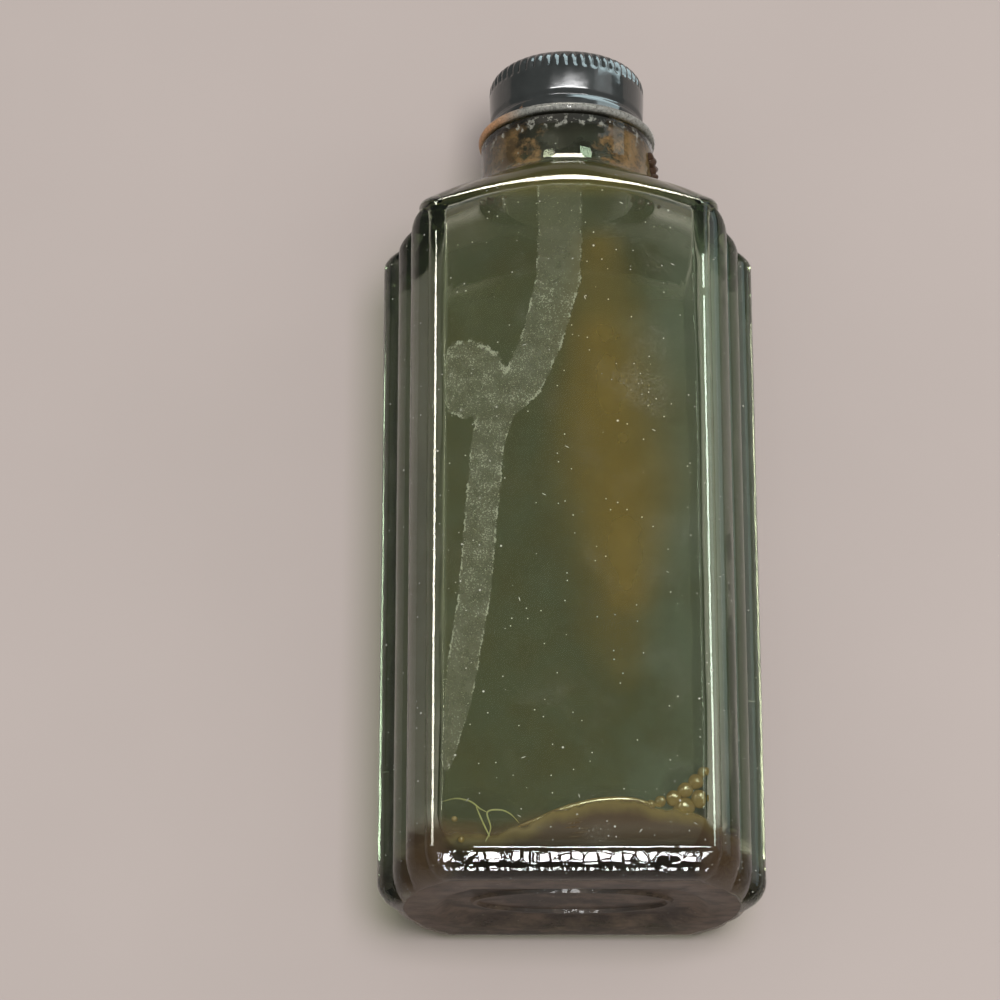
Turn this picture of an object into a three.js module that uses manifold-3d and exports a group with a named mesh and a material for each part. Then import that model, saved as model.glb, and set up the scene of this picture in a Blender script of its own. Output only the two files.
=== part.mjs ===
// Flat moulded-glass paint bottle with fluted sides, a screw cap and a cake of dried paint.
// Millimetres, +Z up. The origin is the centre of the base, and the front panel faces -Y.
import * as THREE from 'three';
import { mergeVertices } from 'three/addons/utils/BufferGeometryUtils.js';
import Module from 'manifold-3d';

// Body of the bottle
const BODY_WIDTH = 60;          // across the two middle flutes
const BODY_DEPTH = 38;          // front panel to back panel
const PANEL_WIDTH = 41.8;       // flat part of the front and back panels
const PANEL_EDGE = 1.5;         // rounding between a panel and its flutes
const FLUTES_PER_SIDE = 5;
const FLUTE_BULGE = 1.7;        // how far a flute swells out of its two grooves
const MIDDLE_BULGE = 3.3;       // the same for the middle flute, the widest
const FLUTE_TOP = 111.2;        // height of the domed tops of the flutes
const FLUTE_DOME = 3.2;         // height over which a flute top rounds off
const HEEL_RADIUS = 4.2;
const BEARING_WIDTH = 4.5;      // flat ring that the bottle stands on
const PUSH_UP = 1.2;            // depth of the hollow under the base
const PUSH_UP_SLOPE = 2;        // width of its sloping edge

// Shoulder
const SHOULDER_CORNER = 3.2;    // corner of the block between the flute tops, across the width
const SHOULDER_CORNER_RUN = 6;  // the same corner, along the depth
const RIM_LIFT = 0.5;           // lowest point of the shoulder rim above the flute tops
const FRONT_ARCH = 3.9;         // rise of the rim over a panel
const SIDE_ARCH = 3.9;          // rise of the rim over the flutes
const PANEL_RIM = 0.6;          // rounding of the rim over a panel
const SIDE_RIM = 2;             // rounding of the rim over the flutes
const SHOULDER_RISE = 8.6;      // rim corner to the foot of the neck
const SHOULDER_CROWN = 0.5;     // swell of the sloping shoulder

// Neck and finish
const NECK_DIAMETER = 28.3;
const NECK_FLARE = 1.5;         // fillet at the foot of the neck, outwards
const NECK_FLARE_RISE = 3.2;    // and upwards
const NECK_LENGTH = 6;          // straight neck above the fillet
const NECK_GROOVE = 0.7;        // depth of the groove under the bead
const BEAD_REACH = 0.45;        // bead standing out of the neck
const BEAD_HEIGHT = 1.4;
const FINISH_DIAMETER = 21.4;   // root of the thread
const FINISH_HEIGHT = 8.5;      // bead to lip
const LIP_RADIUS = 0.8;

// Inside of the glass
const PANEL_WALL = 2.4;
const SIDE_WALL = 5.2;          // at the crest of the middle flute
const CORNER_WALL = 1.2;        // end of a flat panel to the end of its flat inside
const RIM_WALL = 0.5;           // shoulder rim down to the rim of the space inside
const INNER_NARROWING = 8;      // height over which the inside narrows to the shoulder block
const BASE_WALL = 4.5;
const INNER_HEEL = 5;
const NECK_WALL = 3.4;
const FINISH_WALL = 2.9;

// Cap and liner
const THREAD_ROOM = 1.7;        // between the finish and the skirt, for the two threads
const CAP_WALL = 0.4;
const CAP_CORNER = 2.7;
const CAP_ROLL_HEIGHT = 1.9;    // rolled line above the edge of the skirt
const CAP_ROLL_DEPTH = 0.3;
const CAP_ROLL_REACH = 0.6;     // half its height
const SKIRT_GAP = 0.6;          // edge of the skirt above the bead
const LINER_THICKNESS = 1;
const FACING_THICKNESS = 0.3;
const FACING_MARGIN = 0.4;      // liner showing around its facing

// Dried paint in the heel, heights above the inside floor
const PAINT_LOW = 2.2;
const PAINT_MIDDLE = 6;
const PAINT_HIGH = 9.5;

const CLEARANCE = 0.3;          // between pieces that seat on each other

// Facets
const PANEL_STEPS = 6;
const EDGE_STEPS = 2;
const FLUTE_STEPS = 6;
const ARC_STEPS = 4;
const CAVITY_STEPS = 10;
const ROUND_STEPS = 48;

const HALF_WIDTH = BODY_WIDTH / 2;
const HALF_DEPTH = BODY_DEPTH / 2;
const HALF_PANEL = PANEL_WIDTH / 2;
const NECK_RADIUS = NECK_DIAMETER / 2;
const BEAD_RADIUS = NECK_RADIUS + BEAD_REACH;
const FINISH_RADIUS = FINISH_DIAMETER / 2;
const BORE_RADIUS = FINISH_RADIUS - FINISH_WALL;
const CAP_RADIUS = FINISH_RADIUS + THREAD_ROOM + CAP_WALL;

// Heights stacked from the base up
const RIM_CORNER_Z = FLUTE_TOP + RIM_LIFT;
const NECK_FOOT_Z = RIM_CORNER_Z + SHOULDER_RISE;
const NECK_TOP_Z = NECK_FOOT_Z + NECK_FLARE_RISE + NECK_LENGTH;
const BEAD_BOTTOM_Z = NECK_TOP_Z + NECK_GROOVE;
const BEAD_TOP_Z = BEAD_BOTTOM_Z + BEAD_HEIGHT;
const LIP_Z = BEAD_TOP_Z + FINISH_HEIGHT;
const FACING_Z = LIP_Z + CLEARANCE;
const LINER_Z = FACING_Z + FACING_THICKNESS + CLEARANCE;
const CAP_INSIDE_Z = LINER_Z + LINER_THICKNESS + CLEARANCE;
const CAP_TOP_Z = CAP_INSIDE_Z + CAP_WALL;
const SKIRT_Z = BEAD_TOP_Z + SKIRT_GAP;

const wasm = await Module();
wasm.setup();

// Solids and skins

function toSolid(geometry) {
  const bare = geometry.clone();
  bare.deleteAttribute('normal');
  bare.deleteAttribute('uv');
  const merged = mergeVertices(bare);
  const corners = merged.index.array;
  const triangles = [];
  for (let i = 0; i < corners.length; i += 3) {
    const [a, b, c] = corners.slice(i, i + 3);
    if (a !== b && b !== c && c !== a) triangles.push(a, b, c);
  }
  const vertProperties = new Float32Array(merged.attributes.position.array);
  const triVerts = new Uint32Array(triangles);
  return new wasm.Manifold(new wasm.Mesh({ numProp: 3, vertProperties, triVerts }));
}

function toGeometry(solid) {
  const mesh = solid.getMesh();
  const geometry = new THREE.BufferGeometry();
  const stride = mesh.numProp;
  const positions = [];
  for (let i = 0; i < mesh.vertProperties.length; i += stride) {
    positions.push(...mesh.vertProperties.slice(i, i + 3));
  }
  geometry.setAttribute('position', new THREE.Float32BufferAttribute(positions, 3));
  geometry.setIndex([...mesh.triVerts]);
  geometry.computeVertexNormals();
  return geometry;
}

// Skins a stack of rings and closes each end on its own middle. The rings run anticlockwise seen
// from above, from the middle of the base outwards, up the side and in to the middle of the top.
function loft(rings) {
  const count = rings[0].length;
  const points = rings.flat();
  const first = points.push(middle(rings[0])) - 1;
  const last = points.push(middle(rings.at(-1))) - 1;
  const index = [];
  for (let i = 0; i < count; i++) {
    const next = (i + 1) % count;
    index.push(first, next, i);
    for (let ring = 0; ring + 1 < rings.length; ring++) {
      const low = ring * count;
      const high = low + count;
      index.push(low + i, low + next, high + next, low + i, high + next, high + i);
    }
    const top = (rings.length - 1) * count;
    index.push(last, top + i, top + next);
  }
  const geometry = new THREE.BufferGeometry().setFromPoints(points);
  geometry.setIndex(index);
  return geometry;
}

function middle(ring) {
  const sum = ring.reduce((total, point) => total.add(point), new THREE.Vector3());
  return sum.divideScalar(ring.length);
}

// Turns a profile of (radius, height) points about +Z.
function turn(profile) {
  const points = profile.map(([radius, height]) => new THREE.Vector2(radius, height));
  return new THREE.LatheGeometry(points, ROUND_STEPS).rotateX(Math.PI / 2);
}

function quarterArc(centreX, centreY, radius, from, to) {
  const arc = new THREE.EllipseCurve(centreX, centreY, radius, radius, from, to, from > to);
  return arc.getPoints(ARC_STEPS).map((point) => [point.x, point.y]);
}

function mix(a, b, share) {
  return a.clone().lerp(b, share);
}

// Plan of the body

// A station is one place on the plan: where the fluted body passes, where the plain heel passes
// and where the shoulder block passes.
function station(body) {
  return { body, heel: heelPoint(body), shoulder: shoulderPoint(body) };
}

// The heel bows in one arc from panel to panel, out to the crest of the middle flute.
function heelPoint(body) {
  const edge = groove(0);
  if (body.x <= edge.x && body.y <= edge.y) return body;
  const bow = HALF_WIDTH - edge.x;
  const radius = (edge.y * edge.y + bow * bow) / (2 * bow);
  const x = HALF_WIDTH - radius + Math.sqrt(radius * radius - body.y * body.y);
  return new THREE.Vector2(x, body.y);
}

// The shoulder block has straight sides and elliptical corners.
function shoulderPoint(body) {
  const straight = HALF_DEPTH - SHOULDER_CORNER_RUN;
  const into = Math.max(0, Math.abs(body.y) - straight) / SHOULDER_CORNER_RUN;
  const corner = SHOULDER_CORNER * (1 - Math.sqrt(Math.max(0, 1 - into * into)));
  const side = HALF_PANEL + SHOULDER_CORNER - corner;
  return new THREE.Vector2(body.x < HALF_PANEL ? body.x : side, body.y);
}

function groove(number) {
  const lastDepth = HALF_DEPTH - PANEL_EDGE;
  const pitch = (2 * lastDepth) / FLUTES_PER_SIDE;
  const depth = lastDepth - number * pitch;
  const share = number / ((FLUTES_PER_SIDE - 1) / 2);
  const first = HALF_PANEL + PANEL_EDGE;
  const middle = HALF_WIDTH - MIDDLE_BULGE;
  return new THREE.Vector2(THREE.MathUtils.lerp(first, middle, share), -depth);
}

// One flute is an arc from groove to groove that swells by the given amount.
function flute(from, to, bulge, stations) {
  const chord = to.clone().sub(from);
  const half = chord.length() / 2;
  const radius = (half * half + bulge * bulge) / (2 * bulge);
  const out = new THREE.Vector2(chord.y, -chord.x).normalize();
  const centre = mix(from, to, 0.5).addScaledVector(out, bulge - radius);
  const start = from.clone().sub(centre).angle();
  let sweep = to.clone().sub(centre).angle() - start;
  if (sweep < 0) sweep += 2 * Math.PI;
  for (let step = 1; step <= FLUTE_STEPS; step++) {
    const angle = start + (sweep * step) / FLUTE_STEPS;
    const reach = new THREE.Vector2(Math.cos(angle), Math.sin(angle)).multiplyScalar(radius);
    stations.push(station(centre.clone().add(reach)));
  }
}

// Right half of the plan, from the middle of the front panel round to the middle of the back.
function rightStations() {
  const stations = [];
  for (let step = 0; step < PANEL_STEPS; step++) {
    const point = new THREE.Vector2((HALF_PANEL * step) / PANEL_STEPS, -HALF_DEPTH);
    stations.push(station(point));
  }
  for (let step = 0; step <= EDGE_STEPS; step++) {
    const angle = ((step / EDGE_STEPS - 1) * Math.PI) / 2;
    const reach = new THREE.Vector2(Math.cos(angle), Math.sin(angle)).multiplyScalar(PANEL_EDGE);
    const point = reach.add(new THREE.Vector2(HALF_PANEL, PANEL_EDGE - HALF_DEPTH));
    stations.push(station(point));
  }
  const front = (FLUTES_PER_SIDE - 1) / 2;
  for (let number = 0; number < front; number++) {
    flute(groove(number), groove(number + 1), FLUTE_BULGE, stations);
  }
  const inner = groove(front);
  const quarterEnd = stations.length;
  flute(inner, new THREE.Vector2(inner.x, -inner.y), MIDDLE_BULGE, stations);
  const back = stations.slice(0, quarterEnd - 1).reverse().map(backwards);
  return [...stations, ...back];
}

function backwards(place) {
  return mapStation(place, (point) => new THREE.Vector2(point.x, -point.y));
}

function leftwards(place) {
  return mapStation(place, (point) => new THREE.Vector2(-point.x, point.y));
}

function mapStation(place, change) {
  return { body: change(place.body), heel: change(place.heel), shoulder: change(place.shoulder) };
}

function allStations() {
  const right = rightStations();
  const left = right.slice(1, -1).reverse().map(leftwards);
  return [...right, ...left];
}

function inset(point, amount) {
  const x = point.x * (1 - amount / HALF_WIDTH);
  const y = point.y * (1 - amount / HALF_DEPTH);
  return new THREE.Vector2(x, y);
}

function lift(point, z) {
  return new THREE.Vector3(point.x, point.y, z);
}

function circlePoint(place, radius) {
  return place.shoulder.clone().setLength(radius);
}

// Height of the shoulder rim: it arches over the panels and over the flutes.
function rimHeight(point) {
  const across = Math.min(1, Math.abs(point.x) / HALF_PANEL);
  const along = Math.min(1, Math.abs(point.y) / HALF_DEPTH);
  return RIM_CORNER_Z + FRONT_ARCH * (1 - across * across) + SIDE_ARCH * (1 - along * along);
}

// Glass bottle

function heelRings(stations) {
  const ring = (amount, z) => stations.map((place) => lift(inset(place.heel, amount), z));
  const rings = [
    ring(HEEL_RADIUS + BEARING_WIDTH + PUSH_UP_SLOPE, PUSH_UP),
    ring(HEEL_RADIUS + BEARING_WIDTH, 0),
    ring(HEEL_RADIUS, 0),
  ];
  for (let step = 1; step <= ARC_STEPS; step++) {
    const angle = ((step / ARC_STEPS) * Math.PI) / 2;
    const z = HEEL_RADIUS * (1 - Math.cos(angle));
    const amount = HEEL_RADIUS * (1 - Math.sin(angle));
    rings.push(stations.map((place) => {
      return lift(inset(mix(place.heel, place.body, Math.sin(angle)), amount), z);
    }));
  }
  return rings;
}

function fluteTopRings(stations) {
  const rings = [];
  for (let step = 0; step <= ARC_STEPS; step++) {
    const angle = ((step / ARC_STEPS) * Math.PI) / 2;
    const z = FLUTE_TOP - FLUTE_DOME * (1 - Math.sin(angle));
    rings.push(stations.map((place) => lift(mix(place.shoulder, place.body, Math.cos(angle)), z)));
  }
  return rings;
}

function shoulderRings(stations) {
  const footRadius = NECK_RADIUS + NECK_FLARE;
  const slope = (place, share) => {
    const crown = 4 * SHOULDER_CROWN * share * (1 - share);
    const z = THREE.MathUtils.lerp(rimHeight(place.shoulder), NECK_FOOT_Z, share) + crown;
    return lift(mix(place.shoulder, circlePoint(place, footRadius), share), z);
  };
  const rim = (place) => {
    const width = THREE.MathUtils.lerp(SIDE_RIM, PANEL_RIM, Math.abs(place.shoulder.y) / HALF_DEPTH);
    const run = place.shoulder.distanceTo(circlePoint(place, footRadius));
    const height = rimHeight(place.shoulder);
    const room = height - FLUTE_TOP;
    return new THREE.QuadraticBezierCurve3(
      lift(place.shoulder, height - Math.min(width, room / 2)),
      lift(place.shoulder, height),
      slope(place, Math.min(width / run, 1 / ARC_STEPS)),
    );
  };
  const rims = stations.map(rim);
  const rings = [0, 0.5, 1].map((share) => rims.map((curve) => curve.getPoint(share)));
  for (let step = 2; step <= ARC_STEPS; step++) {
    rings.push(stations.map((place) => slope(place, step / ARC_STEPS)));
  }
  return rings;
}

function neckRings(stations) {
  const ring = ([radius, z]) => stations.map((place) => lift(circlePoint(place, radius), z));
  const half = 1 - Math.SQRT1_2;
  const bead = BEAD_HEIGHT / 2;
  const beadArc = quarterArc(BEAD_RADIUS - bead, BEAD_BOTTOM_Z + bead, bead, -Math.PI / 2, Math.PI / 2);
  const profile = [
    [NECK_RADIUS + NECK_FLARE * half, NECK_FOOT_Z + NECK_FLARE_RISE * half],
    [NECK_RADIUS, NECK_FOOT_Z + NECK_FLARE_RISE],
    [NECK_RADIUS, NECK_TOP_Z],
    [NECK_RADIUS - NECK_GROOVE, NECK_TOP_Z + NECK_GROOVE / 2],
    ...beadArc,
  ];
  return profile.map(ring);
}

function bodySolid() {
  const stations = allStations();
  return toSolid(loft([
    ...heelRings(stations),
    ...fluteTopRings(stations),
    ...shoulderRings(stations),
    ...neckRings(stations),
  ]));
}

// Plain cylinder that carries the thread, rounded at the lip.
function finishSolid() {
  const lip = quarterArc(FINISH_RADIUS - LIP_RADIUS, LIP_Z - LIP_RADIUS, LIP_RADIUS, 0, Math.PI / 2);
  return toSolid(turn([[0, NECK_TOP_Z], [FINISH_RADIUS, NECK_TOP_Z], ...lip, [0, LIP_Z]]));
}

// Plan of the space inside, smooth where the outside is fluted.
function cavityPlan(gap) {
  const width = HALF_WIDTH - SIDE_WALL - gap;
  const depth = HALF_DEPTH - PANEL_WALL - gap;
  const flat = HALF_PANEL - CORNER_WALL - gap;
  const curve = new THREE.CubicBezierCurve(
    new THREE.Vector2(flat, -depth),
    new THREE.Vector2(THREE.MathUtils.lerp(flat, width, 1 / 4), -depth),
    new THREE.Vector2(width, -depth / 2),
    new THREE.Vector2(width, 0),
  );
  const quarter = [];
  for (let step = 0; step < PANEL_STEPS; step++) {
    quarter.push(new THREE.Vector2((flat * step) / PANEL_STEPS, -depth));
  }
  quarter.push(...curve.getPoints(CAVITY_STEPS));
  const back = quarter.slice(0, -1).reverse().map((point) => new THREE.Vector2(point.x, -point.y));
  const right = [...quarter, ...back];
  const left = right.slice(1, -1).reverse().map((point) => new THREE.Vector2(-point.x, point.y));
  return [...right, ...left];
}

// The rounded bottom of the space inside, up to where its walls stand upright.
function cavityHeel(plan, floor, radius) {
  const rings = [];
  for (let step = 0; step <= ARC_STEPS; step++) {
    const angle = ((step / ARC_STEPS) * Math.PI) / 2;
    const amount = radius * (1 - Math.sin(angle));
    const z = floor + radius * (1 - Math.cos(angle));
    rings.push(plan.map((point) => lift(inset(point, amount), z)));
  }
  return rings;
}

// Plan of the space inside the shoulder block, which is narrower than the fluted body.
function blockInside(plan) {
  const flat = HALF_PANEL - CORNER_WALL;
  const width = HALF_PANEL + SHOULDER_CORNER - PANEL_WALL;
  const squeeze = (width - flat) / (HALF_WIDTH - SIDE_WALL - flat);
  return plan.map((point) => {
    const out = Math.max(0, Math.abs(point.x) - flat);
    const x = Math.abs(point.x) - out * (1 - squeeze);
    return new THREE.Vector2(Math.sign(point.x) * x, point.y);
  });
}

// The space inside follows the arched rim of the shoulder.
function innerRimHeight(point) {
  const across = Math.min(1, Math.abs(point.x) / (HALF_PANEL - CORNER_WALL));
  const along = Math.min(1, Math.abs(point.y) / (HALF_DEPTH - PANEL_WALL));
  const arches = FRONT_ARCH * (1 - across * across) + SIDE_ARCH * (1 - along * along);
  return RIM_CORNER_Z - RIM_WALL + arches;
}

// Inside of the shoulder: the walls narrow to the block, rise to the rim and slope to the neck.
function cavityShoulder(plan, neckInside) {
  const block = blockInside(plan);
  const blockZ = FLUTE_TOP - FLUTE_DOME;
  const rings = [];
  for (let step = 0; step <= ARC_STEPS; step++) {
    const share = step / ARC_STEPS;
    const inwards = (1 - Math.cos(Math.PI * share)) / 2;
    const z = blockZ - INNER_NARROWING * (1 - share);
    rings.push(plan.map((point, i) => lift(mix(point, block[i], inwards), z)));
  }
  rings.push(block.map((point) => lift(point, innerRimHeight(point))));
  rings.push(block.map((point) => lift(point.clone().setLength(neckInside), NECK_FOOT_Z)));
  return rings;
}

// Upright walls, the inside of the shoulder, a wide neck and the narrower bore of the finish.
function cavitySolid() {
  const plan = cavityPlan(0);
  const round = (radius, z) => plan.map((point) => lift(point.clone().setLength(radius), z));
  const neckInside = NECK_RADIUS - NECK_WALL;
  return toSolid(loft([
    ...cavityHeel(plan, BASE_WALL, INNER_HEEL),
    ...cavityShoulder(plan, neckInside),
    round(neckInside, NECK_TOP_Z),
    round(BORE_RADIUS, BEAD_TOP_Z),
    round(BORE_RADIUS, LIP_Z - LIP_RADIUS),
    round(BORE_RADIUS + LIP_RADIUS / 2, LIP_Z + CLEARANCE),
  ]));
}

function glassBottle() {
  return toGeometry(bodySolid().add(finishSolid()).subtract(cavitySolid()));
}

// Cap, liner and dried paint

// Drawn tinplate shell with a rounded top corner and a line rolled in above its edge.
function capShell() {
  const inside = CAP_RADIUS - CAP_WALL;
  const cornerZ = CAP_TOP_Z - CAP_CORNER;
  const cornerR = CAP_RADIUS - CAP_CORNER;
  const rollZ = SKIRT_Z + CAP_ROLL_HEIGHT;
  const roll = (radius) => [
    [radius, rollZ - CAP_ROLL_REACH],
    [radius - CAP_ROLL_DEPTH, rollZ],
    [radius, rollZ + CAP_ROLL_REACH],
  ];
  return turn([
    [0, CAP_INSIDE_Z],
    ...quarterArc(cornerR, cornerZ, CAP_CORNER - CAP_WALL, Math.PI / 2, 0),
    ...roll(inside).reverse(),
    [inside, SKIRT_Z],
    [CAP_RADIUS, SKIRT_Z],
    ...roll(CAP_RADIUS),
    ...quarterArc(cornerR, cornerZ, CAP_CORNER, 0, Math.PI / 2),
    [0, CAP_TOP_Z],
  ]);
}

function disc(radius, bottom, thickness) {
  return turn([[0, bottom], [radius, bottom], [radius, bottom + thickness], [0, bottom + thickness]]);
}

// The liner fills the flat under the cap's top, inside the rounded corner.
const LINER_RADIUS = CAP_RADIUS - CAP_CORNER;

function capLiner() {
  return disc(LINER_RADIUS, LINER_Z, LINER_THICKNESS);
}

function linerFacing() {
  return disc(LINER_RADIUS - FACING_MARGIN, FACING_Z, FACING_THICKNESS);
}

// Cake of paint in the heel of the bottle, thicker to the right, with a wavy dried top.
function paintResidue() {
  const floor = BASE_WALL + CLEARANCE;
  const plan = cavityPlan(CLEARANCE);
  const wallTop = floor + INNER_HEEL + PAINT_HIGH;
  const upright = plan.map((point) => lift(point, wallTop));
  const filling = toSolid(loft([...cavityHeel(plan, floor, INNER_HEEL - CLEARANCE), upright]));

  const top = new THREE.SplineCurve([
    new THREE.Vector2(-HALF_WIDTH, PAINT_LOW),
    new THREE.Vector2(-HALF_WIDTH / 3, PAINT_LOW),
    new THREE.Vector2(HALF_WIDTH / 8, PAINT_MIDDLE),
    new THREE.Vector2(HALF_WIDTH / 2, (PAINT_MIDDLE + PAINT_HIGH) / 2),
    new THREE.Vector2(HALF_WIDTH, PAINT_HIGH),
  ]);
  const outline = new THREE.Shape(top.getPoints(2 * ARC_STEPS));
  outline.lineTo(HALF_WIDTH, -BASE_WALL);
  outline.lineTo(-HALF_WIDTH, -BASE_WALL);
  const level = new THREE.ExtrudeGeometry(outline, { depth: BODY_DEPTH, bevelEnabled: false });
  level.rotateX(Math.PI / 2).translate(0, HALF_DEPTH, floor);
  return toGeometry(filling.intersect(toSolid(level)));
}

// Assembly

function piece(name, geometry, look) {
  const mesh = new THREE.Mesh(geometry, new THREE.MeshStandardMaterial(look));
  mesh.name = name;
  return mesh;
}

const bottle = new THREE.Group();
bottle.add(
  piece('glass_bottle', glassBottle(), {
    color: 0x565a42, roughness: 0.08, metalness: 0, transparent: true, opacity: 0.5,
  }),
  piece('paint_residue', paintResidue(), { color: 0x4a3420, roughness: 0.45, metalness: 0 }),
);

const cap = new THREE.Group();
cap.add(
  piece('cap_shell', capShell(), { color: 0x23282a, roughness: 0.25, metalness: 0.3 }),
  piece('cap_liner', capLiner(), { color: 0xb9a88a, roughness: 0.9, metalness: 0 }),
  piece('liner_facing', linerFacing(), { color: 0xb8b4aa, roughness: 0.4, metalness: 0.6 }),
);

const paintBottle = new THREE.Group();
paintBottle.add(bottle, cap);

export default paintBottle;
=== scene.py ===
import math

import bpy
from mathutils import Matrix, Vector, noise


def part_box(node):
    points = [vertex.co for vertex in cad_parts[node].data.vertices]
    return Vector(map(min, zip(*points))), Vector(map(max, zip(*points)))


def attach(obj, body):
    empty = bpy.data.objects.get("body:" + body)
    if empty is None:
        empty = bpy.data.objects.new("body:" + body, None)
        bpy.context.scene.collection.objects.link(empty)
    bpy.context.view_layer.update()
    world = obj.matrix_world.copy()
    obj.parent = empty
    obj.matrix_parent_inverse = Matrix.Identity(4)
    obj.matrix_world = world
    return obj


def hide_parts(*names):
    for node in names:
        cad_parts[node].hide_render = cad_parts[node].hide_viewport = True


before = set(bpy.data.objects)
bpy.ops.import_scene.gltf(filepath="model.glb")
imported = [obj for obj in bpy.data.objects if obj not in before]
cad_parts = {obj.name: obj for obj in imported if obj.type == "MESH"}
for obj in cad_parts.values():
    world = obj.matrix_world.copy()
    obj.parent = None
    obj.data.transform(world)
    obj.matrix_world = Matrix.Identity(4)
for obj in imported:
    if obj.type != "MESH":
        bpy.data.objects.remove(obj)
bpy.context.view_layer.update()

# Flat glass paint bottle with fluted sides, a lined screw cap and dried paint inside.
# Sizes are millimetres in the frame of the solids: +Z up, the front panel faces -Y.
MM = 0.001
TAU = 2 * math.pi

GLASS_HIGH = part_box("glass_bottle")[1] / MM
CAP_LOW, CAP_HIGH = (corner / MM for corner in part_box("cap_shell"))
LINER_LOW, LINER_HIGH = (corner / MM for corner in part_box("cap_liner"))
FACING_LOW, FACING_HIGH = (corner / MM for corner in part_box("liner_facing"))

# Body of the bottle
HALF_WIDTH = GLASS_HIGH.x
HALF_DEPTH = GLASS_HIGH.y
HALF_PANEL = 20.9
PANEL_EDGE = 1.5
FLUTES_PER_SIDE = 5
FLUTE_BULGE = 1.7
MIDDLE_BULGE = 3.3
FLUTE_TOP = 111.2
FLUTE_DOME = 3.2
HEEL_RADIUS = 4.2
BEARING_WIDTH = 4.5
PUSH_UP = 1.2
PUSH_UP_SLOPE = 2.0
MOULD_RING = Vector((15.0, 5.6))
MOULD_RING_WIDTH = 0.7
MOULD_RING_HEIGHT = 0.45
STIPPLE_PITCH = 1.8
STIPPLE_HEIGHT = 0.06
STIPPLE_RISE = (0.68, 0.8)
STIPPLE_FALL = (0.96, 1.08)
HEEL_RIPPLE = 0.03
HEEL_RIPPLE_LENGTH = 2.6

# Shoulder, neck and finish
SHOULDER_CORNER = 3.2
SHOULDER_CORNER_RUN = 6.0
RIM_CORNER_Z = FLUTE_TOP + 0.5
FRONT_ARCH = 3.9
SIDE_ARCH = 3.9
PANEL_RIM = 0.9
SIDE_RIM = 2.0
NECK_FOOT_Z = RIM_CORNER_Z + 8.6
SHOULDER_CROWN = 0.5
SLOPE_START = 0.25
NECK_RADIUS = 14.15
NECK_FLARE = 1.5
NECK_FLARE_RISE = 3.2
NECK_LENGTH = 6.0
NECK_TOP_Z = NECK_FOOT_Z + NECK_FLARE_RISE + NECK_LENGTH
NECK_GROOVE = 0.7
BEAD_RADIUS = NECK_RADIUS + 0.45
BEAD_HEIGHT = 1.4
BEAD_BOTTOM_Z = NECK_TOP_Z + NECK_GROOVE
BEAD_TOP_Z = BEAD_BOTTOM_Z + BEAD_HEIGHT
FINISH_RADIUS = 10.7
LIP_Z = GLASS_HIGH.z
LIP_RADIUS = 0.8

# Inside of the glass
PANEL_WALL = 2.4
SIDE_WALL = 5.2
CORNER_WALL = 1.2
BASE_WALL = 4.5
INNER_HEEL = 5.0
NECK_INSIDE = NECK_RADIUS - 3.4
BORE_RADIUS = FINISH_RADIUS - 2.9
RIM_WALL = 0.5
INNER_NARROWING = 8.0
BLOCK_Z = FLUTE_TOP - FLUTE_DOME
INNER_RIM_ROUND = 1.2
INNER_WAVE = 0.22
INNER_WAVE_LENGTH = 17.0

# Right-handed thread, eight turns to the inch
THREAD_PITCH = 25.4 / 8
THREAD_FADE = 0.08
GLASS_THREAD_FOOT = BEAD_TOP_Z + 1.7
GLASS_THREAD_TURNS = 1.4
GLASS_THREAD_HEIGHT = 1.1
GLASS_THREAD_HALF = 1.0
CAP_THREAD_FOOT = GLASS_THREAD_FOOT + THREAD_PITCH / 2
CAP_THREAD_TURNS = 1.2
CAP_THREAD_HEIGHT = 0.8
CAP_THREAD_HALF = 0.5

# Cap
CAP_RADIUS = CAP_HIGH.x
CAP_TOP_Z = CAP_HIGH.z
SKIRT_Z = CAP_LOW.z
CAP_WALL = 0.4
CAP_CORNER = 2.7
CAP_ROLL_HEIGHT = 1.9
CAP_ROLL_DEPTH = 0.3
CAP_ROLL_REACH = 0.8
CAP_BARREL = 0.22
KNURLS = 54
KNURL_DEPTH = 0.32
KNURL_SKIRT = 1.1
KNURL_TOP = (38, 62)
KNURL_FULL = 0.3
LINER_EDGE = 0.18
FACING_EDGE = 0.06

# Facets of the fine surfaces, and the angles in degrees from which an edge stays sharp
PANEL_STEPS = 56
EDGE_STEPS = 5
FLUTE_STEPS = 12
HEEL_STEPS = 26
ARC_STEPS = 10
RIM_STEPS = 6
SLOPE_STEPS = 8
SKIRT_ROWS = 28
ROUND_STEPS = 96
KNURL_STEPS = 6
SHARP = 38
CAP_SHARP = 50
DRIED_SHARP = 60
MERGE = 1e-6


# Helpers for meshes

def start_clean():
    """Leaves object mode with nothing selected, so that operators touch only the new piece."""
    if bpy.context.object and bpy.context.object.mode != "OBJECT":
        bpy.ops.object.mode_set(mode="OBJECT")
    bpy.ops.object.select_all(action="DESELECT")


def rolled_sheet(name, columns, rows, place, marks=None):
    """A flat grid whose points are set where place(column, row) says, closed along its seam.

    Each mark is a named attribute, worked out for every point from its column and row.
    """
    start_clean()
    bpy.ops.mesh.primitive_grid_add(x_subdivisions=columns, y_subdivisions=rows, size=2)
    piece = bpy.context.object
    piece.name = name
    piece.data.name = name
    cells = []
    for vertex in piece.data.vertices:
        column = round((vertex.co.x + 1) / 2 * columns) % columns
        row = round((vertex.co.y + 1) / 2 * rows)
        cells.append((column, row))
        vertex.co = Vector(place(column, row)) * MM
    for mark, measure in (marks or {}).items():
        attribute = piece.data.attributes.new(mark, "FLOAT", "POINT")
        attribute.data.foreach_set("value", [measure(column, row) for column, row in cells])
    close_up(piece)
    return piece


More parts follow.
